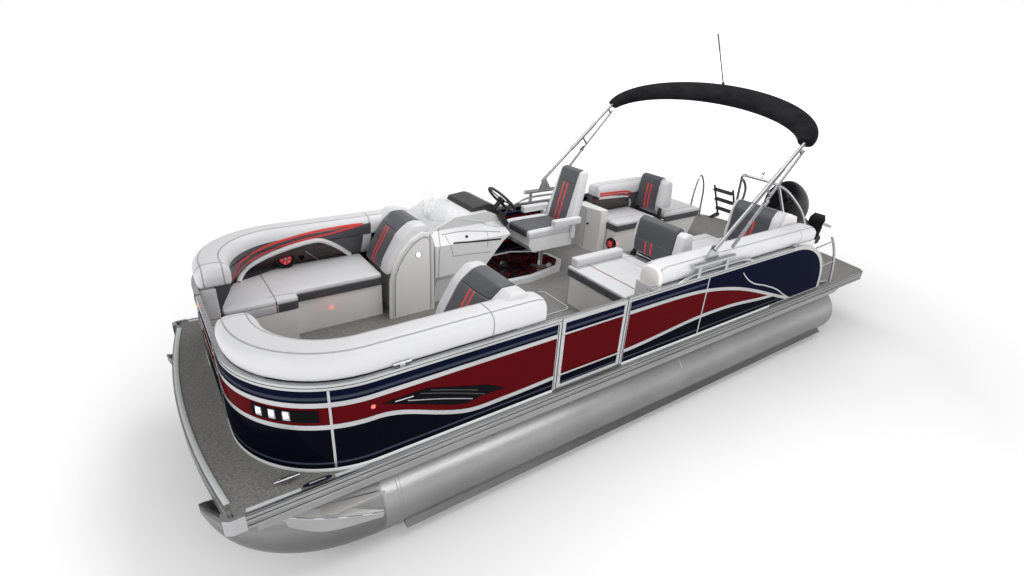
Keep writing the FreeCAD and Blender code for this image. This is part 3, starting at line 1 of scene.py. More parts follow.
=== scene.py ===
"""Pontoon boat: finishes, upholstery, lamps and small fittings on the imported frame.

Positions are given by deck(x, y, z) in the boat's own deck coordinates in millimetres, as in the part's
source: x runs forward from the bow corners, y to port and z up from the keels.
"""
import json
import math
from functools import partialmethod

import bmesh
import bpy
import numpy as np
from mathutils import Matrix, Vector, noise
from mathutils.bvhtree import BVHTree
from mathutils.kdtree import KDTree

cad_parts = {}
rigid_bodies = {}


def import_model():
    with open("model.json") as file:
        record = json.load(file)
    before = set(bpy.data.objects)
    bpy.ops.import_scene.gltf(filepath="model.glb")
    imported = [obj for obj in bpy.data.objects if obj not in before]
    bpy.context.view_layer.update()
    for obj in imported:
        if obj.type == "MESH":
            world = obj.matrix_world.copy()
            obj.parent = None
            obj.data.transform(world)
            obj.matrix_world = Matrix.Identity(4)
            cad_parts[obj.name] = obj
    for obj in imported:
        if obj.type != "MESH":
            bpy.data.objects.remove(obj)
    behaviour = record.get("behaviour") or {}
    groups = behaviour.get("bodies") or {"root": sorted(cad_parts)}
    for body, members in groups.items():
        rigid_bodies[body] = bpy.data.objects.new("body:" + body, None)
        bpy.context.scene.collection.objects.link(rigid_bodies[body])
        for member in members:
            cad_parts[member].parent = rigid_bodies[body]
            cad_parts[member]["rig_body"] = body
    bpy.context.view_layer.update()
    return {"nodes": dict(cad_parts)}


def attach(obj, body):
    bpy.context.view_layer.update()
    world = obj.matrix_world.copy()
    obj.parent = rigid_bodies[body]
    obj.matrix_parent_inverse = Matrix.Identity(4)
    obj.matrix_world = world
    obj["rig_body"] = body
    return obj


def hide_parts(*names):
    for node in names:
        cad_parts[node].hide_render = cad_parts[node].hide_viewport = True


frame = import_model()

# Driving dimensions: the deck's place in the frame in metres, the rest in deck millimetres
SHIFT_X = 4.3827
FENCE_Y = 1265.0
CORNER_R = 735.0
CORNER_X, CORNER_Y = -870.0, FENCE_Y - CORNER_R
STRIP_UPPER = 1380
STRIP_LOWER = 1218
SIDE_GATE_STRIP = 1012
DECK_Z = 863.5

# Places and widths that materials use, in deck metres
SEAM_X = -4.060
CHAIR_X, CHAIR_Y = -3.680, -0.740
SEAM_HALF = 0.006
SEAM_DARKNESS = 0.34
CORD_HALF = 0.005
MAT_Z = 0.9262
WEAVE_PITCH = 0.009

TURN = 2 * math.pi
RING_SIDES = 40

# Colours
WHITE_VINYL = (0.62, 0.62, 0.635)
CHARCOAL_VINYL = (0.055, 0.057, 0.065)
STRIPE_RED = (0.62, 0.035, 0.035)
PIPING_RED = (0.30, 0.02, 0.025)
SEAM_SHADE = (0.02, 0.02, 0.02)
BAND_RED = (0.082, 0.003, 0.005)
BAND_NAVY = (0.003, 0.0045, 0.017)
BAND_BLACK = (0.002, 0.0025, 0.006)
BAND_SLATE = (0.040, 0.046, 0.068)
SWOOSH_SILVER = (0.45, 0.46, 0.48)
PLATE_GREY = (0.80, 0.79, 0.77)
GEL_WHITE = (0.72, 0.72, 0.73)


def deck(x, y, z):
    """A point in deck millimetres, in the frame's metres."""
    return Vector((x / 1000 + SHIFT_X, y / 1000, z / 1000))


def add_object(name, data):
    made = bpy.data.objects.new(name, data)
    bpy.context.scene.collection.objects.link(made)
    return made


def body_of(node):
    """The body that carries a CAD node."""
    return frame["nodes"][node]["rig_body"]


# Materials
class Value:
    """What a shader node puts out. Its operators add nodes: & multiplies masks, | takes the larger, ~ flips one."""

    def __init__(self, graph, socket):
        self.graph, self.socket = graph, socket

    def calc(self, operation, *others):
        return self.graph.calc(operation, self, *others)

    __abs__ = partialmethod(calc, "ABSOLUTE")
    __add__ = partialmethod(calc, "ADD")
    __sub__ = partialmethod(calc, "SUBTRACT")
    __mul__ = partialmethod(calc, "MULTIPLY")
    __gt__ = partialmethod(calc, "GREATER_THAN")
    __lt__ = partialmethod(calc, "LESS_THAN")
    __and__ = __mul__
    __or__ = partialmethod(calc, "MAXIMUM")

    def __rsub__(self, other):
        return self.graph.calc("SUBTRACT", other, self)

    def __invert__(self):
        return 1.0 - self

    def between(self, low, high):
        return (self > low) & (self < high)

    def line(self, centre, half=CORD_HALF):
        """One within half of a centre."""
        return abs(self - centre) < half

    def spread(self, low, high, out_low, out_high):
        return self.graph.add("ShaderNodeMapRange", {0: self, 1: low, 2: high, 3: out_low, 4: out_high})

    def dip(self, centre, half=SEAM_HALF):
        """A soft groove: one at the centre and zero from half away."""
        return abs(self - centre).spread(0.0, half, 1.0, 0.0)

    def wave(self, pitch):
        return (self * (TURN / pitch)).calc("SINE")

    def repeats(self, count, half):
        """Soft lines that come back so many times a unit."""
        return (self * count).calc("FRACT").dip(0.5, half)

    def mix(self, first, second):
        """The first colour where the mask is zero and the second where it is one."""
        colours = {key: c if isinstance(c, Value) else (*c, 1) for key, c in ((6, first), (7, second))}
        return self.graph.add("ShaderNodeMix", {0: self, **colours}, 2, data_type="RGBA")


class Graph:
    """The node tree of a material or a world, with short calls that add and link its nodes."""

    def __init__(self, owner, shader):
        owner.use_nodes = True
        self.owner, self.tree = owner, owner.node_tree
        self.shader = self.tree.nodes[shader]
        self.given = {}
        self.place = self.add("ShaderNodeTexCoord", {}, "Object")

    def link(self, value, socket):
        """Links a value to an input, or sets the input to a plain one."""
        if isinstance(value, Value):
            self.tree.links.new(value.socket, socket)
        else:
            socket.default_value = value

    def put(self, name, value):
        """Gives the shader an input, and keeps it for later steps."""
        self.link(value, self.shader.inputs[name])
        self.given[name] = value

    def node(self, kind, inputs, **settings):
        """Adds a node, sets its settings and fills its inputs by name or number."""
        made = self.tree.nodes.new(kind)
        for key, value in settings.items():
            setattr(made, key, value)
        for key, value in inputs.items():
            self.link(value, made.inputs[key])
        return made

    def add(self, kind, inputs, out=0, **settings):
        """One output of a new node."""
        return Value(self, self.node(kind, inputs, **settings).outputs[out])

    def calc(self, operation, *values):
        return self.add("ShaderNodeMath", dict(enumerate(values)), operation=operation)

    def split(self, vector):
        return [Value(self, part) for part in self.node("ShaderNodeSeparateXYZ", {0: vector}).outputs]

    def axes(self):
        return self.split(self.place)

    def deck_axes(self):
        """The deck position in metres."""
        x, y, z = self.axes()
        return x - SHIFT_X, y, z

    def facing(self):
        """The x and z of the surface normal in the object's own frame."""
        x, _, z = self.split(self.add("ShaderNodeTexCoord", {}, "Normal"))
        return x, z

    def noise(self, scale, detail=3.0, rough=0.55, stretch=None):
        place = self.place
        if stretch:
            place = self.add("ShaderNodeMapping", {0: place, 3: stretch})
        return self.add("ShaderNodeTexNoise", {"Vector": place, "Scale": scale, "Detail": detail, "Roughness": rough})

    def shaded(self, colour, value):
        """The colour, darker or lighter by a factor."""
        return self.add("ShaderNodeHueSaturation", {"Color": colour, "Value": value})

    def press(self, height, distance, strength=1.0):
        """Adds relief to what relief there is."""
        under = {"Normal": self.given["Normal"]} if "Normal" in self.given else {}
        bump = self.add("ShaderNodeBump", {"Height": height, "Distance": distance, "Strength": strength, **under})
        self.put("Normal", bump)


def finish(name, colour, roughness, metallic=0.0):
    """A plain material to build on."""
    graph = Graph(bpy.data.materials.new(name), "Principled BSDF")
    graph.put("Base Color", (*colour, 1))
    graph.put("Metallic", metallic)
    graph.put("Roughness", roughness)
    return graph


def worn(graph, roughness, spread=0.08, scale=6.0):
    """Uneven roughness from handling and cleaning."""
    graph.put("Roughness", graph.noise(scale).spread(0.3, 0.7, roughness - spread, roughness + spread))


def vinyl(name, colour):
    """Soft marine vinyl with a fine pebbled grain and slight creases."""
    graph = finish(name, colour, 0.45)
    worn(graph, 0.46, 0.06, 9.0)
    graph.press(graph.add("ShaderNodeTexVoronoi", {"Vector": graph.place, "Scale": 420.0}), 0.0004, 0.35)
    graph.press(graph.noise(16.0, 4.0), 0.004, 0.35)
    graph.put("Sheen Weight", 0.15)
    return graph


def stitch(graph, colour, groove):
    """Colours sewn vinyl and presses its seams in along a groove mask."""
    graph.put("Base Color", (groove * SEAM_DARKNESS).mix(colour, SEAM_SHADE))
    graph.press(~groove, 0.008)
    return graph


def back_vinyl(name, insert, stripes, seam, mirrored=False):
    """A white back with a charcoal insert, a head seam and red stripes below it."""
    graph = vinyl(name, WHITE_VINYL)
    _, y, z = graph.axes()
    if mirrored:
        y = abs(y)
    low, high = insert
    inside = y.between(low, high)
    ahead, _ = graph.facing()
    colour = inside.mix(WHITE_VINYL, CHARCOAL_VINYL)
    for at in stripes:
        bar = y.line(at, 0.0115) & (z < seam - 0.004) & (ahead > 0.12)
        colour = bar.mix(colour, STRIPE_RED)
    return stitch(graph, colour, y.dip(low) | y.dip(high) | z.dip(seam) & inside)


def seat_vinyl():
    """White seats with charcoal front bands, red piping and stitched borders."""
    graph = vinyl("seat_vinyl", WHITE_VINYL)
    x, y, z = graph.deck_axes()
    _, up = graph.facing()
    top = up > 0.55
    bow = x > -2.500
    band = ~top & (z < 1.262) & (x < -0.700)
    cord = x.line(-0.690) & ~top & bow
    bench = x.line(-3.560) & top & (y > 0.2)
    lounge = y.line(-0.700) & (x < -5.560) & top
    colour = (cord | bench | lounge).mix(band.mix(WHITE_VINYL, CHARCOAL_VINYL), PIPING_RED)
    border = abs(y).dip(0.500) & bow & (x < -0.640)
    cross = x.dip(-0.690) & bow
    bench_seams = (x.dip(-3.570) | x.dip(-4.020) | y.dip(0.230)) & (y > 0.1) & ~bow
    lounge_seams = (x.dip(-5.160) | y.dip(-0.760)) & (y < -0.1) & ~bow
    edge = z.dip(1.264, 0.005) & ~top
    return stitch(graph, colour, border | cross | bench_seams | lounge_seams | edge)


def length(a, b):
    return (a * a + b * b).calc("SQRT")


def inset(x, y):
    """The distance inboard of the fence's face, round the bow corners too."""
    turn_x = (x - CORNER_X / 1000).calc("MAXIMUM", 0.0)
    turn_y = (abs(y) - CORNER_Y / 1000).calc("MAXIMUM", 0.0)
    return CORNER_R / 1000 - length(turn_x, turn_y)


def coaming_vinyl():
    """White coamings with long seams; the inner face below them is charcoal."""
    graph = vinyl("coaming_vinyl", WHITE_VINYL)
    x, y, z = graph.deck_axes()
    depth = inset(x, y)
    bow = x > -1.740
    inner = (depth > 0.225) & (z < x.spread(-1.720, -0.440, 1.640, 1.580)) & bow & (abs(y) > 0.45)
    groove = depth.dip(0.072) | depth.dip(0.212) | x.dip(-1.730) | x.dip(-5.610) | abs(y).dip(0.470) & bow
    return stitch(graph, inner.mix(WHITE_VINYL, CHARCOAL_VINYL), groove)


ARCH_LINE = [(-502, 924, 1306), (-554, 972, 1361), (-621, 981, 1412), (-768, 1007, 1462), (-948, 1002, 1510),
             (-1131, 994, 1541), (-1243, 994, 1540), (-1337, 1007, 1492), (-1430, 1039, 1420),
             (-1496, 1076, 1355), (-1545, 1094, 1306)]
ARCH_RUN = [(-1560, 1300), *((x, z) for x, _, z in ARCH_LINE[-2:0:-1]), (-500, 1300)]
AFT_ARCH_RUN = [(-5510, 1300), (-5455, 1385), (-5380, 1465), (-5250, 1492), (-5043, 1500), (-4640, 1540)]


def liner_vinyl(name, arch, white_end=-9.0):
    """Charcoal seat backs with a dark burl panel below the arch, white aft of white_end."""
    graph = vinyl(name, CHARCOAL_VINYL)
    x, _, z = graph.deck_axes()
    below = (z < strip_height(graph, x, arch)) & x.between(arch[0][0] / 1000, arch[-1][0] / 1000)
    streaks = graph.noise(9.0, 6.0, 0.7, (1, 1, 3.5)).spread(0.45, 0.62, 0.0, 1.0)
    burl = streaks.mix((0.006, 0.005, 0.006), (0.060, 0.012, 0.014))
    graph.put("Base Color", (x < white_end).mix(below.mix(CHARCOAL_VINYL, burl), WHITE_VINYL))
    graph.put("Roughness", below.spread(0.0, 1.0, 0.46, 0.14))
    return graph


def panel_vinyl():
    """White side panels that are charcoal behind the lounges."""
    graph = vinyl("panel_vinyl", WHITE_VINYL)
    x, y, z = graph.deck_axes()
    bow = x.between(-1.760, -0.330) & (abs(y) > 0.62)
    aft = (x < -4.600) & (y < 0.0)
    return stitch(graph, (bow | aft).mix(WHITE_VINYL, CHARCOAL_VINYL), z.dip(1.240))


def dais_finish():
    """White moulded rim round a gloss black mat with red streaks and rings."""
    graph = plain_paint("dais_finish", GEL_WHITE, 0.25, 0.4)
    x, y, z = graph.deck_axes()
    veins = graph.noise(2.2, 4.0, 0.5, (0.6, 2.6, 1.0)).repeats(7.0, 0.06)
    ring = length(x - CHAIR_X, y - CHAIR_Y)
    rings = ring.repeats(38.0, 0.22) & ring.between(0.150, 0.232)
    red = veins & (ring > 0.232) | rings
    dark = red.mix((0.006, 0.006, 0.007), (0.26, 0.02, 0.022))
    graph.put("Base Color", (z > MAT_Z).mix(GEL_WHITE, dark))
    return graph


def brushed(name, colour, roughness, stretch):
    """Rolled or brushed aluminium with lines along one direction."""
    graph = finish(name, colour, roughness, 1.0)
    lines = graph.noise(30.0, 5.0, 0.6, stretch)
    graph.put("Roughness", lines.spread(0.25, 0.75, roughness - 0.09, roughness + 0.09))
    cloud = graph.noise(1.7, 4.0).spread(0.3, 0.7, 0.0, 1.0)
    graph.put("Base Color", cloud.mix(tuple(0.82 * c for c in colour), colour))
    graph.press(lines, 0.0004, 0.3)
    return graph


def tube_metal():
    """Mill finish tubes with painted shade on their lower half, and darker on the nose cones."""
    graph = brushed("tube_aluminium", (0.43, 0.43, 0.435), 0.33, (0.35, 6.0, 6.0))
    x, _, z = graph.deck_axes()
    # Painted shade: the colour darkens towards the tubes' bottoms; the nose cones are darker too.
    shade = z.spread(0.05, 0.60, 0.40, 0.95) * x.spread(-0.905, -0.895, 1.0, 0.66)
    graph.put("Base Color", graph.shaded(graph.given["Base Color"], shade))
    return graph


def plain_paint(name, colour, roughness=0.25, coat=0.6, specular=0.3):
    """Gel coat or gloss paint with slight orange peel."""
    graph = finish(name, colour, roughness)
    worn(graph, roughness, 0.06, 5.0)
    graph.press(graph.noise(90.0, 2.0), 0.0005, 0.15)
    for socket, value in (("Specular IOR Level", specular), ("Coat Weight", coat), ("Coat IOR", 1.3),
                          ("Coat Roughness", 0.08)):
        graph.put(socket, value)
    return graph


def strip_height(graph, x, points):
    """The height of a curved strip over x, through deck points in millimetres."""
    x_low, x_high = points[0][0], points[-1][0]
    z_low, z_high = min(z for _, z in points), max(z for _, z in points)
    node = graph.node("ShaderNodeFloatCurve", {1: x.spread(x_low / 1000, x_high / 1000, 0.0, 1.0)})
    curve = node.mapping.curves[0]
    places = [((px - x_low) / (x_high - x_low), (pz - z_low) / (z_high - z_low)) for px, pz in points]
    curve.points[0].location = places[0]
    curve.points[-1].location = places[-1]
    for place in places[1:-1]:
        curve.points.new(*place)
    node.mapping.update()
    return Value(graph, node.outputs[0]).spread(0.0, 1.0, z_low / 1000, z_high / 1000)


UPPER_RUN = [(-5800, 846), (-5383, 985), (-4977, 1130), (-4618, 1243), (-4302, 1313), (-4015, 1356),
             (-3750, 1374), (-3300, 1380), (0, 1380)]
LOWER_RUN = [(-5300, 1016), (-5024, 1032), (-4690, 1067), (-4387, 1084), (-3972, 1080), (-3720, 1062),
             (-3365, 1030), (-2850, 1012), (-2320, 1010), (-2000, 998), (-1760, 994), (-1540, 1002),
             (-1400, 1040), (-1240, 1104), (-1060, 1180), (-940, 1212), (-850, 1218), (0, 1218)]
SWOOSH_RUN = [(-5731, 868), (-5537, 960), (-5341, 1071), (-5091, 1170), (-4827, 1260), (-4609, 1415)]


def band_paint(name, lower=None, upper=None):
    """Gloss skin of the fence: navy on top with a slate line, a red sweep, and black below."""
    graph = plain_paint(name, BAND_NAVY, 0.16, 0.07, 0.0)
    x, _, z = graph.deck_axes()
    curved = upper is None
    if curved:
        lower, upper = (strip_height(graph, x, run) for run in (LOWER_RUN, UPPER_RUN))
    slate = z.between(1.412, 1.434) & ~(x < SEAM_X)
    red = (z > upper).mix(BAND_RED, slate.mix(BAND_NAVY, BAND_SLATE))
    low = z.between(0.927, 0.942).mix(BAND_BLACK, BAND_SLATE)
    colour = (z > lower).mix(low, red)
    if curved:
        ahead = x > -5.290
        colour = (~ahead & (z > upper)).mix(ahead.mix(low, colour), BAND_NAVY)
        swoosh = z.line(strip_height(graph, x, SWOOSH_RUN), 0.007) & (x < -4.609)
        colour = swoosh.mix(colour, SWOOSH_SILVER)
    flakes = graph.noise(260.0, 2.0).spread(0.3, 0.7, 0.8, 1.25)
    graph.put("Base Color", graph.shaded(colour, flakes))
    return graph


def deck_vinyl():
    """Woven vinyl flooring: a small over-and-under weave with mixed yarns."""
    graph = finish("woven_deck", (0.2, 0.2, 0.2), 0.8)
    x, y, _ = graph.axes()
    flecks = graph.noise(64.0, 4.0, 0.7, (1, 2.4, 1)).spread(0.38, 0.62, 0.0, 1.0)
    patches = graph.noise(3.0, 3.0).spread(0.3, 0.7, 0.0, 0.35)
    yarn = flecks.mix((0.120, 0.117, 0.110), (0.32, 0.314, 0.298))
    graph.put("Base Color", patches.mix(yarn, (0.19, 0.186, 0.176)))
    graph.press(x.wave(WEAVE_PITCH) * y.wave(WEAVE_PITCH), 0.0012, 0.7)
    worn(graph, 0.78, 0.08)
    return graph


def glass():
    """Clear acrylic screen with a faint grey tint."""
    graph = finish("clear_screen", (0.86, 0.88, 0.90), 0.02)
    graph.put("Transmission Weight", 1.0)
    graph.put("IOR", 1.2)
    graph.put("Alpha", 0.45)
    worn(graph, 0.03, 0.015, 4.0)
    return graph


def canvas():
    """Black woven canvas of the folded canopy's boot, with painted shade in its creases."""
    graph = finish("canvas", (0.008, 0.008, 0.009), 0.85)
    graph.put("Specular IOR Level", 0.12)
    x, y, z = graph.axes()
    graph.press((y * 2600.0).calc("SINE") * ((x + z) * 2600.0).calc("SINE"), 0.0005, 0.4)
    creases = graph.noise(11.0, 6.0, 0.62, (1, 0.45, 1))
    graph.press(creases, 0.03, 0.55)
    # Painted shade: the colour follows the crease relief, darker in the folds and lighter on the ridges.
    graph.put("Base Color", creases.spread(0.35, 0.7, 0, 1).mix((0.004, 0.004, 0.005), (0.013, 0.013, 0.015)))
    worn(graph, 0.8, 0.1)
    return graph


def glow(name, colour, strength):
    graph = finish(name, colour, 0.3)
    graph.put("Emission Color", (*colour, 1))
    graph.put("Emission Strength", strength)
    return graph


def moulded(name, colour, roughness=0.5):
    """Textured plastic or rubber."""
    graph = finish(name, colour, roughness)
    worn(graph, roughness, 0.07, 14.0)
    graph.press(graph.noise(500.0, 2.0), 0.0006, 0.5)
    return graph


def ribbed_rail():
    """Rub rail extrusion with fine ribs along its length."""
    graph = brushed("ribbed_rail", (0.38, 0.38, 0.385), 0.34, (0.4, 30.0, 30.0))
    del graph.given["Normal"]  # the ribs stand in for the brushed relief
    graph.press(abs(graph.axes()[2].wave(0.017)).calc("POWER", 0.5), 0.004, 0.8)
    return graph


MATERIALS = {
    "tube": tube_metal(),
    "skirt": brushed("skirt_aluminium", (0.36, 0.36, 0.362), 0.34, (0.4, 9.0, 9.0)),
    "mill": brushed("mill_aluminium", (0.36, 0.36, 0.37), 0.5, (2.0, 2.0, 2.0)),
    "rail": brushed("anodised_rail", (0.54, 0.545, 0.56), 0.27, (0.6, 18.0, 18.0)),
    "rub": ribbed_rail(),
    "pole": brushed("bright_pole", (0.24, 0.24, 0.25), 0.26, (4.0, 4.0, 4.0)),
    "steel": brushed("polished_steel", (0.50, 0.50, 0.51), 0.12, (3.0, 3.0, 3.0)),
    "fence_paint": band_paint("fence_paint"),
    "gate_paint": band_paint("bow_gate_paint", STRIP_LOWER / 1000, STRIP_UPPER / 1000),
    "side_gate_paint": band_paint("side_gate_paint", SIDE_GATE_STRIP / 1000, STRIP_UPPER / 1000),
    "deck": deck_vinyl(),
    "white": vinyl("white_vinyl", WHITE_VINYL),
    "charcoal": vinyl("charcoal_vinyl", CHARCOAL_VINYL),
    "seats": seat_vinyl(),
    "coaming": coaming_vinyl(),
    "chaise": back_vinyl("chaise_vinyl", (0.598, 0.985), (0.757, 0.810), 1.660, True),
    "helm_back": back_vinyl("helm_back_vinyl", (-0.905, -0.605), (-0.800, -0.735), 1.875),
    "helm_seat": back_vinyl("helm_seat_vinyl", (-0.876, -0.543), (), 1.000),
    "flip_port": back_vinyl("flip_port_vinyl", (0.205, 0.700), (0.357, 0.436), 1.500),
    "flip_star": back_vinyl("flip_starboard_vinyl", (-0.985, -0.650), (-0.830, -0.773), 1.700),
    "aft_back": back_vinyl("aft_back_vinyl", (0.400, 0.875), (0.630, 0.690), 1.620),
    "liner": liner_vinyl("liner_vinyl", ARCH_RUN, -1.662),
    "aft_liner": liner_vinyl("aft_liner_vinyl", AFT_ARCH_RUN),
    "panels": panel_vinyl(),
    "ember": glow("speaker_light", (0.9, 0.04, 0.04), 0.9),
    "stripe": vinyl("red_stripe_vinyl", STRIPE_RED),
    "piping": vinyl("red_piping_vinyl", PIPING_RED),
    "navy": plain_paint("navy_gloss", (0.010, 0.012, 0.032), 0.12, 0.5),
    "groove": moulded("dark_groove", (0.035, 0.035, 0.038), 0.6),
    "shade": moulded("grey_line", (0.30, 0.30, 0.31), 0.5),
    "pale": plain_paint("pale_edge", (0.62, 0.64, 0.64), 0.4, 0.2),
    "spray": brushed("spray_plate", (0.50, 0.50, 0.505), 0.55, (0.5, 8.0, 8.0)),
    "mat_grey": moulded("hatch_grey", (0.20, 0.198, 0.195), 0.85),
    "display": plain_paint("display_glass", (0.01, 0.012, 0.02), 0.06, 1.0),
    "amber": glow("amber_lens", (1.0, 0.33, 0.05), 0.6),
    "warm": glow("warm_lamp", (1.0, 0.93, 0.80), 4.0),
    "dais": dais_finish(),
    "base": plain_paint("base_plastic", PLATE_GREY, 0.42, 0.1),
    "gel": plain_paint("console_gel", GEL_WHITE, 0.22, 0.6),
    "black": moulded("black_plastic", (0.012, 0.012, 0.013), 0.38),
    "gloss_black": plain_paint("gloss_black", (0.004, 0.004, 0.005), 0.2, 0.15, 0.0),
    "powder": moulded("black_powder_coat", (0.014, 0.014, 0.015), 0.45),
    "screen": glass(),
    "canvas": canvas(),
    "motor": plain_paint("motor_black", (0.003, 0.003, 0.005), 0.18, 0.5, 0.0),
    "led": glow("white_lamp", (0.85, 0.93, 1.0), 14.0),
    "red_lamp": glow("red_lamp", (1.0, 0.03, 0.02), 9.0),
}

NODE_MATERIALS = {
    "tube": "outer_tubes centre_tube",
    "mill": "tube_risers cross_members motor_pod",
    "skirt": "side_skirts",
    "rub": "rub_rails",
    "rail": "fence_frames bow_gate_frame side_gate_frame fence_trim canopy_rails",
    "pole": "canopy_frame canopy_struts",
    "steel": "corner_caps cleats chair_pedestal stern_rails ski_bar propeller",
    "fence_paint": "fence_skins",
    "gate_paint": "bow_gate_skin",
    "side_gate_paint": "side_gate_skin",
    "gloss_black": "fence_inserts",
    "deck": "deck",
    "mat_grey": "hatch_lid",
    "white": "aft_bolster chair_arms",
    "seats": "seat_cushions",
    "coaming": "coamings",
    "panels": "side_panels",
    "chaise": "chaise_pads",
    "helm_back": "chair_back",
    "helm_seat": "chair_cushion",
    "flip_port": "flip_back_port",
    "flip_star": "flip_back_starboard",
    "aft_back": "aft_back_pad",
    "dais": "helm_dais",
    "base": "seat_bases chaise_shells cabinet aft_back_shell floor_locker",
    "gel": "console chair_frame",
    "black": "dash throttle steering_wheel mast",
    "powder": "flip_arms_starboard flip_arms_port flip_pivots ladder ladder_lugs",
    "screen": "windscreen",
    "canvas": "canopy_boot",
    "motor": "motor_clamp motor_swivel motor_cowl motor_leg",
}


def paint_nodes():
    for key, nodes in NODE_MATERIALS.items():
        for node in nodes.split():
            mesh = frame["nodes"][node].data
            mesh.materials.clear()
            mesh.materials.append(MATERIALS[key].owner)


# Upholstery
def loose_parts(mesh):
    """The separate solids of a mesh, each as a bmesh."""
    whole = bmesh.new()
    whole.from_mesh(mesh)
    bmesh.ops.remove_doubles(whole, verts=whole.verts, dist=0.00005)
    seen, parts = set(), []
    for start in whole.verts:
        if start in seen:
            continue
        stack, group = [start], {start}
        while stack:
            for edge in stack.pop().link_edges:
                for vert in edge.verts:
                    if vert not in group:
                        group.add(vert)
                        stack.append(vert)
        seen |= group
        part = bmesh.new()
        copies = {vert: part.verts.new(vert.co) for vert in group}
        for face in {f for vert in group for f in vert.link_faces}:
            part.faces.new([copies[vert] for vert in face.verts])
        part.normal_update()
        parts.append(part)
    whole.free()
    return parts


def crisp_edges(part):
    """Points every few millimetres on the part's sharp edges."""
    points = []
    for edge in part.edges:
        if len(edge.link_faces) == 2 and edge.calc_face_angle(0) > math.radians(35.0):
            a, b = (vert.co for vert in edge.verts)
            count = max(1, int((b - a).length / 0.006))
            points += [a.lerp(b, i / count) for i in range(count + 1)]
    return points


def soften(part, voxel, rounding):
    """The part remeshed to small even faces with rounded edges, as a new mesh."""
    mesh = bpy.data.meshes.new("soft")
    part.to_mesh(mesh)
    carrier = add_object("soft", mesh)
    remesh = carrier.modifiers.new("remesh", "REMESH")
    remesh.mode = "VOXEL"
    remesh.voxel_size = voxel
    relax = carrier.modifiers.new("relax", "SMOOTH")
    relax.factor = 0.5
    relax.iterations = rounding
    graph = bpy.context.evaluated_depsgraph_get()
    made = bpy.data.meshes.new_from_object(carrier.evaluated_get(graph))
    bpy.data.objects.remove(carrier)
    bpy.data.meshes.remove(mesh)
    return made


def crown(mesh, edges, height, reach):
    """Swells the faces away from the sharp edges, as foam under a sewn cover does."""
    tree = KDTree(max(1, len(edges)))
    for i, point in enumerate(edges):
        tree.insert(point, i)
    tree.balance()
    places = []
    for vert in mesh.vertices:
        away = tree.find(vert.co)[2] if edges else reach
        rise = height * (1 - math.exp(-(away / reach) ** 2))
        ripple = 0.0012 * noise.noise(vert.co * 13.0)
        places.append(vert.co + vert.normal * (rise + ripple))
    mesh.vertices.foreach_set("co", np.array(places, np.float32).ravel())
    mesh.update()


def sew(name, parts, material, node, voxel=0.008, rounding=14, height=0.006, reach=0.05):
    """A crowned, padded piece from plain solids, on the body of a CAD node."""
    joined = bmesh.new()
    for part in parts:
        edges = crisp_edges(part)
        mesh = soften(part, voxel, rounding)
        crown(mesh, edges, height, reach)
        joined.from_mesh(mesh)
        bpy.data.meshes.remove(mesh)
        part.free()
    mesh = bpy.data.meshes.new(name)
    joined.to_mesh(mesh)
    joined.free()
    for face in mesh.polygons:
        face.use_smooth = True
    mesh.materials.append(material)
    piece = add_object(name, mesh)
    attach(piece, body_of(node))
    return piece


def upholster(node, voxel=0.009, rounding=6, height=0.007):
    """A sewn copy of a plain CAD pad, which it stands for."""
    source = frame["nodes"][node]
    piece = sew("sewn_" + node, loose_parts(source.data), source.data.materials[0], node, voxel, rounding,
                height, reach=0.06)
    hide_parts(node)
    return piece


def between_rows(shape, a, b, closed=True):
    """Faces that join two rows of as many vertices."""
    count = len(a)
    return [shape.faces.new((a[k], a[(k + 1) % count], b[(k + 1) % count], b[k]))
            for k in range(count if closed else count - 1)]


def prism(near, far):
    """A solid between two matching outlines."""
    shape = bmesh.new()
    near = [shape.verts.new(point) for point in near]
    far = [shape.verts.new(point) for point in far]
    shape.faces.new(near)
    shape.faces.new(far)
    between_rows(shape, near, far)
    bmesh.ops.recalc_face_normals(shape, faces=shape.faces)
    return shape


def side_prism(outline, y0, y1):
    """A solid from a side outline of deck (x, z) points, between two widths."""
    return prism(*([deck(x, y, z) for x, z in outline] for y in (y0, y1)))


CHAISE_WING = [(-1770, 1570), (-1835, 1650), (-1950, 1742), (-2075, 1738), (-2126, 1665), (-2110, 1570)]
FLIP_WING = [(88, 110), (90, 170), (64, 0), (18, 28), (-58, 14), (-94, 170), (-84, 110)]


def flip_wing(x, tall):
    """The outline of a flip back's white side bolster, which stops above the arm."""
    high = tall - 20
    return [(x + dx, 1312 + (dz if i in (0, 1, 5, 6) else high + dz)) for i, (dx, dz) in enumerate(FLIP_WING)]


END_CAP = [(1220, 1300), (1222, 1560), (1212, 1618), (1180, 1654), (1120, 1666), (1060, 1660), (1018, 1626),
           (1002, 1570), (998, 1300)]


def make_end_cap():
    """The padded cap that closes the front end of the port aft coaming."""
    cap = prism(*([deck(x, y, z) for y, z in END_CAP] for x in (-3408, -3462)))
    sew("coaming_cap_port", [cap], MATERIALS["base"].owner, "coamings", rounding=10, height=0.004)


def make_bolsters():
    """White side bolsters that stand outside the charcoal backs."""
    white = MATERIALS["white"].owner
    wings = [("chaise_bolsters", "chaise_shells", [side_prism(CHAISE_WING, side * 988, side * 1128)
                                                   for side in (1, -1)]),
             ("flip_bolster_port", "flip_back_port", [side_prism(flip_wing(-4285, 385), 703, 812)]),
             ("flip_bolster_starboard", "flip_back_starboard", [side_prism(flip_wing(-5560, 450), -637, -535)])]
    for name, node, parts in wings:
        sew(name, parts, white, node)


BACK_FOOT_Z, BACK_TALL, BACK_MIDDLE_Y = 1.374, 0.586, -0.755


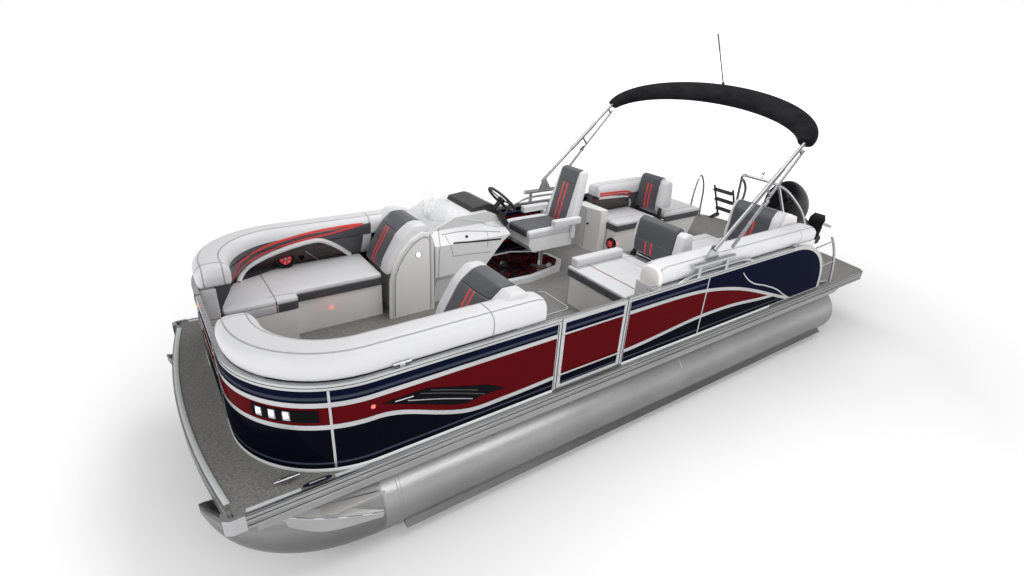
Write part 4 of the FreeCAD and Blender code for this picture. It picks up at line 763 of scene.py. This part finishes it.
def lean_chair_back(piece):
    """Leans the back aft from its foot and narrows it towards its top."""
    for vert in piece.data.vertices:
        rise = max(0.0, (vert.co.z - BACK_FOOT_Z) / BACK_TALL)
        vert.co.x -= 0.060 * rise
        vert.co.y = BACK_MIDDLE_Y + (vert.co.y - BACK_MIDDLE_Y) * (1.0 - 0.20 * rise ** 2)


SOFT_NODES = {
    "seat_cushions": {"voxel": 0.011},
    "coamings": {"rounding": 36, "height": 0.012},
    "side_panels": {"height": 0.003},
    "chaise_pads": {"rounding": 48, "height": 0.010},
    "aft_bolster": {"rounding": 16},
    "aft_back_pad": {"rounding": 16},
    "flip_back_starboard": {"rounding": 14},
    "flip_back_port": {"rounding": 14},
    "chair_cushion": {"voxel": 0.007},
    "chair_back": {"voxel": 0.007, "rounding": 16},
    "chair_arms": {"voxel": 0.006},
}


def make_upholstery():
    soft = {node: upholster(node, **options) for node, options in SOFT_NODES.items()}
    lean_chair_back(soft["chair_back"])
    make_bolsters()
    make_end_cap()
    return soft


# Fittings
def smooth_run(points, step=0.02):
    """Points about a step apart on a smooth curve through the given ones."""
    last = len(points) - 1
    made = []
    for i in range(last):
        a, b, c, d = (points[min(max(k, 0), last)] for k in range(i - 1, i + 3))
        steps = max(1, int((c - b).length / step))
        for k in range(steps):
            t = k / steps
            made.append(0.5 * (2 * b + (c - a) * t + (2 * a - 5 * b + 4 * c - d) * t * t
                               + (3 * b - a - 3 * c + d) * t ** 3))
    made.append(points[-1].copy())
    return made


def on_side(points, side=1):
    """Deck points on the port side, or on the starboard one where side is -1."""
    return [deck(x, side * y, z) for x, y, z in points]


def make_piece(name, shape, keys, node, sharp):
    """A piece that rides on the body of a CAD node, with edges sharp from an angle in degrees."""
    bmesh.ops.recalc_face_normals(shape, faces=shape.faces)
    mesh = bpy.data.meshes.new(name)
    shape.to_mesh(mesh)
    shape.free()
    for key in keys:
        mesh.materials.append(MATERIALS[key].owner)
    mesh.set_sharp_from_angle(angle=math.radians(sharp))
    piece = add_object(name, mesh)
    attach(piece, body_of(node))
    return piece


class Fitting:
    """One scene piece made of small shapes that ride on the body of a CAD node."""

    def __init__(self, name, node):
        self.name, self.node = name, node
        self.shape = bmesh.new()
        self.keys = []

    def slot(self, key):
        if key not in self.keys:
            self.keys.append(key)
        return self.keys.index(key)

    def skin(self, key, faces):
        for face in faces:
            face.material_index = self.slot(key)
            face.smooth = True

    def tube(self, key, run, radius, closed=False, lie=None, flat=0.3, sides=8):
        """A welt, trim or wire through points; lie is the way its flat side faces, or a list of ways."""
        tall = radius * (1.0 if lie is None else flat)
        rings = []
        up = None
        for i, place in enumerate(run):
            ahead = run[(i + 1) % len(run)] if closed or i + 1 < len(run) else place
            behind = run[i - 1] if closed or i > 0 else place
            way = (ahead - behind).normalized()
            if lie is not None:
                up = lie[i] if isinstance(lie, list) else lie
            elif up is None:
                up = Vector((0, 0, 1)).lerp(Vector((1, 0, 0)), abs(way.z))
            side = way.cross(up).normalized()
            up = side.cross(way).normalized()
            spots = (place + side * (radius * math.cos(TURN * k / sides)) + up * (tall * math.sin(TURN * k / sides))
                     for k in range(sides))
            rings.append([self.shape.verts.new(spot) for spot in spots])
        faces = []
        for i in range(len(rings) if closed else len(rings) - 1):
            faces += between_rows(self.shape, rings[i], rings[(i + 1) % len(rings)])
        if not closed:
            faces.append(self.shape.faces.new(rings[0]))
            faces.append(self.shape.faces.new(rings[-1][::-1]))
        self.skin(key, faces)

    def curve(self, key, points, radius, **options):
        """A tube along the smooth curve through points."""
        self.tube(key, smooth_run(points), radius, **options)

    def laid(self, key, surface, points, radius, flat):
        """A trim that lies on a surface along the smooth curve through points."""
        places, ways = surface.lay(points)
        self.tube(key, places, radius, lie=ways, flat=flat)

    def block(self, key, at, size, turn=None, round_mm=2.0):
        """A block with rounded edges; its size is in millimetres."""
        made = bmesh.ops.create_cube(self.shape, size=1.0)["verts"]
        for vert in made:
            spot = Vector([c * s / 1000 for c, s in zip(vert.co, size)])
            vert.co = (turn @ spot if turn else spot) + at
        edges = list({edge for vert in made for edge in vert.link_edges})
        bevelled = bmesh.ops.bevel(self.shape, geom=edges, offset=round_mm / 1000, segments=2, affect="EDGES")
        faces = {face for vert in bevelled["verts"] for face in vert.link_faces}
        self.skin(key, faces)

    def disc(self, key, at, axis, radius, depth, top=None):
        """A round cap or knob along an axis, in millimetres; top is its outer radius."""
        turn = Vector(axis).normalized().to_track_quat("Z", "Y").to_matrix().to_4x4()
        top = radius if top is None else top
        made = bmesh.ops.create_cone(self.shape, cap_ends=True, segments=32, radius1=radius / 1000,
                                     radius2=top / 1000, depth=depth / 1000,
                                     matrix=Matrix.Translation(at) @ turn)["verts"]
        self.skin(key, {face for vert in made for face in vert.link_faces})

    def ring(self, key, at, axis, radius, thick):
        """A round hoop about an axis, in millimetres."""
        turn = Vector(axis).normalized().to_track_quat("Z", "Y").to_matrix()
        turns = [TURN * k / RING_SIDES for k in range(RING_SIDES)]
        places = [at + turn @ Vector((math.cos(a), math.sin(a), 0)) * radius / 1000 for a in turns]
        self.tube(key, places, thick / 1000, closed=True)

    def plate(self, key, corners, way, thick):
        """A flat plate from its corners, raised along its face."""
        rise = Vector(way).normalized() * thick / 1000
        low = [self.shape.verts.new(c) for c in corners]
        high = [self.shape.verts.new(c + rise) for c in corners]
        faces = [self.shape.faces.new(low), self.shape.faces.new(high)]
        self.skin(key, faces + between_rows(self.shape, low, high))

    def done(self):
        make_piece(self.name, self.shape, self.keys, self.node, 38)


def run_at(depth, z, x_end, y_start, side):
    """Deck points along the bow quarter at a depth inboard of the fence's face, in millimetres."""
    reach = CORNER_R - depth
    places = [(CORNER_X + reach, y) for y in np.linspace(y_start, CORNER_Y, 3)]
    places += [(CORNER_X + reach * math.cos(a), CORNER_Y + reach * math.sin(a))
               for a in np.linspace(0.0, math.pi / 2, 19)[1:-1]]
    places += [(x, CORNER_Y + reach) for x in np.linspace(CORNER_X, x_end, 12)]
    return [deck(x, side * y, z) for x, y in places]


def outward(place):
    """The way the fence's face looks at a place beside it."""
    centre = deck(CORNER_X, math.copysign(CORNER_Y, place.y), 0)
    if abs(place.y) <= abs(centre.y) + 0.001:
        return Vector((1, 0, 0))
    if place.x <= centre.x + 0.001:
        return Vector((0, math.copysign(1, place.y), 0))
    return Vector((place.x - centre.x, place.y - centre.y, 0)).normalized()


LINER = [(262, 1519), (240, 1455), (200, 1385), (165, 1320), (152, 1302), (150, 1519)]


def sweep(name, profiles, key, node):
    """A solid through matching runs of points, one for each corner of its section."""
    shape = bmesh.new()
    rows = [[shape.verts.new(p) for p in run] for run in profiles]
    for i, row in enumerate(rows):
        for face in between_rows(shape, row, rows[(i + 1) % len(rows)], closed=False):
            face.smooth = True
    for end in (0, -1):
        shape.faces.new([row[end] for row in rows])
    piece = make_piece(name, shape, [key], node, 50)
    return piece


def make_liners():
    """Padded backs between the coamings and the seats."""
    made = []
    for side, word in ((1, "port"), (-1, "starboard")):
        rows = [run_at(depth, z, -1745.0, 445.0, side) for depth, z in LINER]
        made.append(sweep("bow_liner_" + word, rows, "liner", "side_panels"))
    rows = [[deck(x, depth - FENCE_Y, z) for x in np.linspace(-4790, -5540, 16)] for depth, z in LINER]
    made.append(sweep("aft_liner_starboard", rows, "aft_liner", "side_panels"))
    return made


class Surface:
    """The nearest point and facing on a set of meshes."""

    def __init__(self, pieces):
        verts, faces = [], []
        for piece in pieces:
            first = len(verts)
            verts += [piece.matrix_world @ v.co for v in piece.data.vertices]
            faces += [[first + i for i in f.vertices] for f in piece.data.polygons]
        self.tree = BVHTree.FromPolygons(verts, faces)

    def lay(self, points):
        """A smooth run laid a millimetre off the surface, with the way it faces at each point."""
        places, ways = [], []
        for point in smooth_run(points):
            spot, way = self.tree.find_nearest(point)[:2]
            places.append(spot + way * 0.001)
            ways.append(way)
        return places, ways


SWOOSH_TOP = [(-425, 815, 1320), (-447, 862, 1381), (-510, 855, 1485), (-627, 937, 1526), (-777, 991, 1566),
              (-957, 995, 1600), (-1187, 998, 1628), (-1492, 1000, 1640), (-1662, 1000, 1636)]
SWOOSH_LOW = [(-452, 880, 1320), (-487, 914, 1371), (-565, 928, 1446), (-679, 977, 1483), (-861, 1003, 1527),
              (-1042, 1000, 1562), (-1181, 998, 1580), (-1323, 998, 1589), (-1488, 998, 1612),
              (-1625, 1000, 1630)]
AFT_STRIPES = [[(-4800, 1000, 1578), (-5021, 1000, 1573), (-5260, 1000, 1562), (-5385, 1002, 1526)],
               [(-4800, 1000, 1546), (-5100, 1000, 1541), (-5270, 1003, 1524), (-5360, 1020, 1488)]]
AFT_ARCH_LINE = [(-4800, 1016, 1516), (-5043, 1020, 1505), (-5300, 1030, 1488), (-5385, 1052, 1450),
                 (-5455, 1078, 1385), (-5500, 1112, 1310)]


def speaker(fitting, at, axis, radius):
    """A round speaker with a dark rim, a red cone and a light hub."""
    axis = Vector(axis).normalized()
    fitting.disc("gloss_black", at, axis, radius, 34)
    fitting.ring("black", at + axis * 0.017, axis, radius * 0.9, 5)
    fitting.disc("piping", at + axis * 0.0175, axis, radius * 0.72, 4, radius * 0.5)
    face = at + axis * 0.021
    for k in range(6):
        arm = Matrix.Rotation(k * TURN / 6, 3, axis) @ axis.orthogonal().normalized() * radius
        fitting.tube("ember", [face + arm * 0.00028, face + arm * 0.00058], 0.0045)
    fitting.disc("steel", face, axis, radius * 0.2, 6, radius * 0.14)


def dress_bow_seats(soft, liners):
    """Stripes, arches and speakers on the coamings and seat backs."""
    surface = Surface([soft["coamings"], *liners])
    trim = Fitting("seat_back_trim", "side_panels")
    for side in (1, -1):
        face = (0.12, -side * 0.85, 0.5)
        for points, radius in ((SWOOSH_TOP, 0.0125), (SWOOSH_LOW, 0.0105)):
            trim.laid("stripe", surface, on_side(points, side), radius, 0.25)
        trim.curve("white", on_side(ARCH_LINE, side), 0.022, sides=12)
        speaker(trim, deck(-935, side * 1072, 1378), face, 84)
        trim.disc("gloss_black", deck(-1082, side * 1072, 1368), face, 22, 40)
        trim.curve("steel", on_side([(-1108, 1036, 1448), (-1170, 1062, 1380), (-1235, 1096, 1312)], side), 0.006)
        trim.disc("red_lamp", deck(-1133, side * 428, 1127), (0, 1, 0), 12, 8)
    for points in AFT_STRIPES:
        trim.laid("stripe", surface, on_side(points, -1), 0.013, 0.25)
    trim.curve("white", on_side(AFT_ARCH_LINE, -1), 0.021, sides=12)
    speaker(trim, deck(-4779, -670, 1014), (1, 0, 0), 74)
    trim.disc("red_lamp", deck(-4786, -560, 1060), (1, 0, 0), 10, 8)
    trim.done()


CHAISE_LINE = [(-1722, 880), (-1734, 1240), (-1770, 1370), (-1836, 1482), (-1925, 1578), (-2020, 1630),
               (-2066, 1618), (-2092, 1580), (-2096, 880)]


def dress_chaises():
    """The moulded line, a pale line painted as the rim's highlight, and the ring lamp on the inboard face of each
    chaise shell.
    """
    trim = Fitting("chaise_trim", "chaise_shells")
    for side in (1, -1):
        face = Vector((0, -side, 0))
        trim.curve("shade", [deck(x, side * 424, z) for x, z in CHAISE_LINE], 0.005, lie=face, flat=0.5)
        # Painted highlight: the pale line along the outer rim stands for the light the rim catches.
        outer = [(x + (18 if x > -2000 else -14), z + (0 if z < 900 else 16)) for x, z in CHAISE_LINE]
        trim.curve("pale", [deck(x, side * 423, z) for x, z in outer], 0.010, lie=face, flat=0.5)
        at = deck(-1973, side * 423, 1470)
        trim.disc("warm", at, face, 20, 6)
        trim.ring("steel", at, face, 27, 5)
    trim.done()


def dress_console():
    """Drawer lines, slot and knob on the console's inboard face, and the display over the wheel."""
    trim = Fitting("console_trim", "console")
    surface = Surface([frame["nodes"]["console"]])
    runs = [("shade", 0.0045, [(-2275, -529, 1583), (-2502, -530, 1584), (-2700, -507, 1562), (-2919, -479, 1530)]),
            ("black", 0.009, [(-2361, -455, 1509), (-2720, -450, 1478), (-2915, -450, 1463)]),
            ("shade", 0.0035, [(-2358, -450, 1373), (-2500, -450, 1366), (-2664, -450, 1354), (-2800, -450, 1340)]),
            ("shade", 0.0035, [(-2303, -519, 1571), (-2330, -450, 1480), (-2358, -450, 1373)]),
            ("shade", 0.0035, [(-2767, -492, 1544), (-2757, -450, 1470), (-2753, -450, 1400)]),
            ("pale", 0.012, [(-2240, -640, 1650), (-2326, -590, 1696), (-2480, -575, 1710), (-2633, -554, 1669),
                             (-2800, -535, 1620), (-2942, -517, 1570)]),
            ("shade", 0.004, [(-2190, -450, 900), (-2200, -450, 1300), (-2215, -450, 1500), (-2260, -560, 1640)])]
    for key, radius, points in runs:
        trim.laid(key, surface, on_side(points), radius, 0.5)
    trim.disc("black", deck(-2526, -486, 1539), (0, 1, 0.4), 14, 16)
    lean = Matrix.Rotation(math.radians(-61), 3, "Y")
    trim.block("display", deck(-2962, -860, 1702), (110, 330, 8), lean, 3)
    trim.block("display", deck(-2962, -675, 1702), (80, 110, 8), lean, 3)
    trim.done()


LAMP_REACH, LAMP_Z = 741, 1302
PARTING_Z = 1500
FOOT_TRIM_Z = 880
LOUVRES = [("rail", [(-994, 1286), (-1119, 1281)]), ("groove", [(-1165, 1286), (-1400, 1200), (-1657, 1096)]),
           ("groove", [(-1240, 1284), (-1440, 1212), (-1600, 1150)]),
           ("shade", [(-1080, 1262), (-1330, 1180), (-1560, 1092)])]


def dress_fence():
    """Lamps, louvres, slotted posts, the parting line of the top rail, and the foot trim."""
    trim = Fitting("fence_fittings", "fence_frames")
    for side in (1, -1):
        face = Vector((0, side, 0))
        for angle in (35.5, 42.5, 49.5):
            a = math.radians(angle)
            out = Vector((math.cos(a), side * math.sin(a), 0))
            turn = Matrix((out, Vector((-out.y, out.x, 0)), Vector((0, 0, 1)))).transposed()
            at = deck(CORNER_X + LAMP_REACH * math.cos(a), side * (CORNER_Y + LAMP_REACH * math.sin(a)), LAMP_Z)
            trim.block("steel", at, (8, 46, 66), turn, 3)
            trim.block("led", at + out * 0.004 + Vector((0, 0, 0.006)), (6, 24, 34), turn, 2)
        trim.disc("black", deck(-853, side * 1266, 1306), face, 19, 8)
        trim.disc("red_lamp", deck(-853, side * 1268, 1306), face, 12, 10)
        for key, points in LOUVRES:
            trim.curve(key, [deck(x, side * 1269, z) for x, z in points], 0.004, lie=face, flat=0.5)
        trim.tube("groove", run_at(-0.6, PARTING_Z, -2316, 352, side), 0.0022)
        trim.tube("groove", on_side([(x, FENCE_Y + 0.6, PARTING_Z) for x in (-3040, -5480)], side), 0.0022)
        foot = run_at(-1.0, FOOT_TRIM_Z, -2290, 372, side)
        trim.tube("pale", foot, 0.0145, lie=[outward(p) for p in foot], flat=0.22)
        foot = on_side([(x, FENCE_Y + 1, FOOT_TRIM_Z) for x in (-3052, -5290)], side)
        trim.tube("pale", foot, 0.0145, lie=face, flat=0.22)
        for x in (-2298, -3042) if side > 0 else ():
            trim.tube("groove", on_side([(x, FENCE_Y + 0.5, z) for z in (905, 1478)]), 0.003)
    trim.disc("amber", deck(-133, -200, 1502), (1, 0, 0.3), 12, 8)
    trim.done()
    for name, heights, ends, way in (
            ("side_gate", (STRIP_UPPER, SIDE_GATE_STRIP), [(-2342, 1266), (-2998, 1266)], (0, 1, 0)),
            ("bow_gate", (STRIP_UPPER, STRIP_LOWER), [(-134, -318), (-134, 318)], (1, 0, 0))):
        strips = Fitting(name + "_strips", name + "_skin")
        for z in heights:
            strips.tube("rail", [deck(x, y, z) for x, y in ends], 0.011, lie=Vector(way))
        strips.done()


def rounded_box(x0, x1, y0, y1, z, r):
    """Deck points round a rectangle with rounded corners, counter-clockwise from above."""
    corners = [(x1 - r, y1 - r, 0), (x0 + r, y1 - r, 90), (x0 + r, y0 + r, 180), (x1 - r, y0 + r, 270)]
    return [deck(cx + r * math.cos(a), cy + r * math.sin(a), z) for cx, cy, first in corners
            for a in np.radians(np.arange(first, first + 91, 15))]


def dress_deck():
    """The border of the hatch, the pale edge strips and the flush cleats."""
    up = Vector((0, 0, 1))
    border = Fitting("hatch_border", "hatch_lid")
    border.tube("pale", rounded_box(-3350, -2480, -236, 236, 864.5, 70), 0.008, closed=True, lie=up)
    border.done()
    trim = Fitting("deck_fittings", "deck")
    for side in (1, -1):
        for x0, x1, y1 in ((-80, -385, 1240), (-590, -800, 1256)):
            corners = [(x0, 1236), (x0, 1266), (x1, 1266), (x1, y1)]
            trim.plate("pale", on_side([(x, y, DECK_Z) for x, y in corners], side), up, 3)
        outline = [(-485 + 88 * math.cos(a), 1240 + 17 * math.sin(a), DECK_Z)
                   for a in np.linspace(0, TURN, 28, endpoint=False)]
        trim.plate("navy", on_side(outline, side), up, 7)
        trim.curve("steel", on_side([(-535, 1240, 872), (-485, 1240, 874), (-435, 1240, 872)], side), 0.004)
    edge = [deck(115 * (1 - (y / 1170) ** 2) - 2, y, 869) for y in np.linspace(-1150, 1150, 25)]
    trim.tube("pale", edge, 0.017, lie=up, flat=0.2)
    trim.done()


SPRAY_EDGE = [(-262, 1190, 640), (-470, 1250, 562), (-680, 1266, 474), (-885, 1262, 394)]
SPRAY_FOOT = [(-290, 1176, 525), (-430, 1222, 444), (-572, 1244, 398), (-873, 1260, 350)]
SPRAY_ROOT = [(-262, 1120, 648), (-470, 1165, 574), (-680, 1205, 490), (-885, 1238, 402)]
FIN_PLAN = [(-140, 1060), (-900, 1240), (-900, 1262), (-560, 1262), (-120, 1085)]


def dress_noses():
    """Spray plates on the outer nose cones, each with a slotted flange."""
    trim = Fitting("spray_plates", "outer_tubes")
    for side in (1, -1):
        rows = [[trim.shape.verts.new(p) for p in smooth_run(on_side(run, side), 0.06)]
                for run in (SPRAY_ROOT, SPRAY_EDGE, SPRAY_FOOT)]
        for key, a, b in zip(("base", "spray"), rows, rows[1:]):
            count = min(len(a), len(b))
            trim.skin(key, between_rows(trim.shape, a[:count], b[:count], closed=False))
        edge = on_side(SPRAY_EDGE, side)
        trim.curve("rail", edge, 0.005)
        trim.plate("base", [deck(x, side * y, 562.3) for x, y in FIN_PLAN], (0, 0, 1), 1.2)
        lip = [p + Vector((0, side * 0.002, 0.005)) for p in smooth_run(edge, 0.01)]
        for share in (0.06, 0.28, 0.50, 0.74):
            first = int(share * len(lip))
            trim.tube("pale", lip[first:first + 7], 0.0045)
    trim.done()


def dress_helm():
    """Foot rest and pedals on the dais, and the catch on the cabinet door."""
    trim = Fitting("helm_fittings", "helm_dais")
    trim.block("steel", deck(-3230, -900, 975), (90, 150, 60), Matrix.Rotation(math.radians(-30), 3, "Y"), 12)
    trim.block("black", deck(-3215, -900, 952), (110, 190, 30), None, 8)
    trim.disc("black", deck(-4590, -945, 1225), (1, 0, 0), 13, 26)
    trim.tube("shade", on_side([(-4598, -1000, 900), (-4598, -1000, 1400)]), 0.003)
    trim.done()


def make_fittings(soft):
    liners = make_liners()
    dress_bow_seats(soft, liners)
    dress_chaises()
    dress_console()
    dress_fence()
    dress_deck()
    dress_noses()
    dress_helm()


# Setting
CAMERA_AT = Vector((4.4322, 3.8485, 3.4189))
CAMERA_ALONG = Vector((-0.532, -0.727, -0.433))
CAMERA_RIGHT = Vector((-0.822, 0.567, 0.057))
CAMERA_LENS = 18.94


def make_camera():
    data = bpy.data.cameras.new("camera")
    data.lens = CAMERA_LENS
    data.sensor_width = 36.0
    camera = add_object("camera", data)
    back = -CAMERA_ALONG.normalized()
    right = CAMERA_RIGHT.normalized()
    up = back.cross(right).normalized()
    right = up.cross(back)
    camera.matrix_world = Matrix((right, up, back)).transposed().to_4x4()
    camera.location = CAMERA_AT
    bpy.context.scene.camera = camera


def make_floor():
    """A white floor that takes the boat's soft shadow and fades into the bright background."""
    mesh = bpy.data.meshes.new("floor")
    size = 200.0
    mesh.from_pydata([(-size, -size, 0), (size, -size, 0), (size, size, 0), (-size, size, 0)], [], [(0, 1, 2, 3)])
    floor = add_object("floor", mesh)
    floor.location.z = -0.0005
    graph = finish("studio_floor", (0.90, 0.90, 0.90), 0.6)
    graph.put("Roughness", graph.noise(0.6).spread(0.3, 0.7, 0.55, 0.7))
    graph.put("Specular IOR Level", 0.15)
    near = graph.add("ShaderNodeVectorMath", {0: graph.place}, "Value", operation="LENGTH")
    graph.put("Emission Color", (1, 1, 1, 1))
    graph.put("Emission Strength", near.spread(4.0, 11.0, 0.10, 1.0))
    mesh.materials.append(graph.owner)


def soft_light(name, at, towards, size, power):
    data = bpy.data.lights.new(name, "AREA")
    data.shape = "RECTANGLE"
    data.size, data.size_y = size
    data.energy = power
    lamp = add_object(name, data)
    lamp.location = at
    lamp.rotation_euler = (Vector(towards) - Vector(at)).to_track_quat("-Z", "Y").to_euler()


def make_light():
    """A bright even surround that is dimmer overhead, and broad soft lights."""
    graph = Graph(bpy.data.worlds.new("studio"), "Background")
    height = graph.split(graph.add("ShaderNodeTexCoord", {}, "Generated"))[2]
    graph.put("Color", (1, 1, 1, 1))
    graph.put("Strength", height.spread(0.06, 0.55, 1.0, 0.42))
    bpy.context.scene.world = graph.owner
    soft_light("overhead", (0.5, 0.0, 6.5), (0.0, 0.0, 0.0), (8.0, 3.0), 300.0)
    soft_light("port_side", (1.0, 7.5, 4.0), (0.0, 0.0, 0.8), (8.0, 2.0), 150.0)
    soft_light("bow", (9.0, 2.0, 4.0), (0.0, 0.0, 0.8), (3.0, 2.0), 90.0)
    bpy.context.scene.view_settings.view_transform = "Standard"


paint_nodes()
make_fittings(make_upholstery())
make_camera()
make_floor()
make_light()
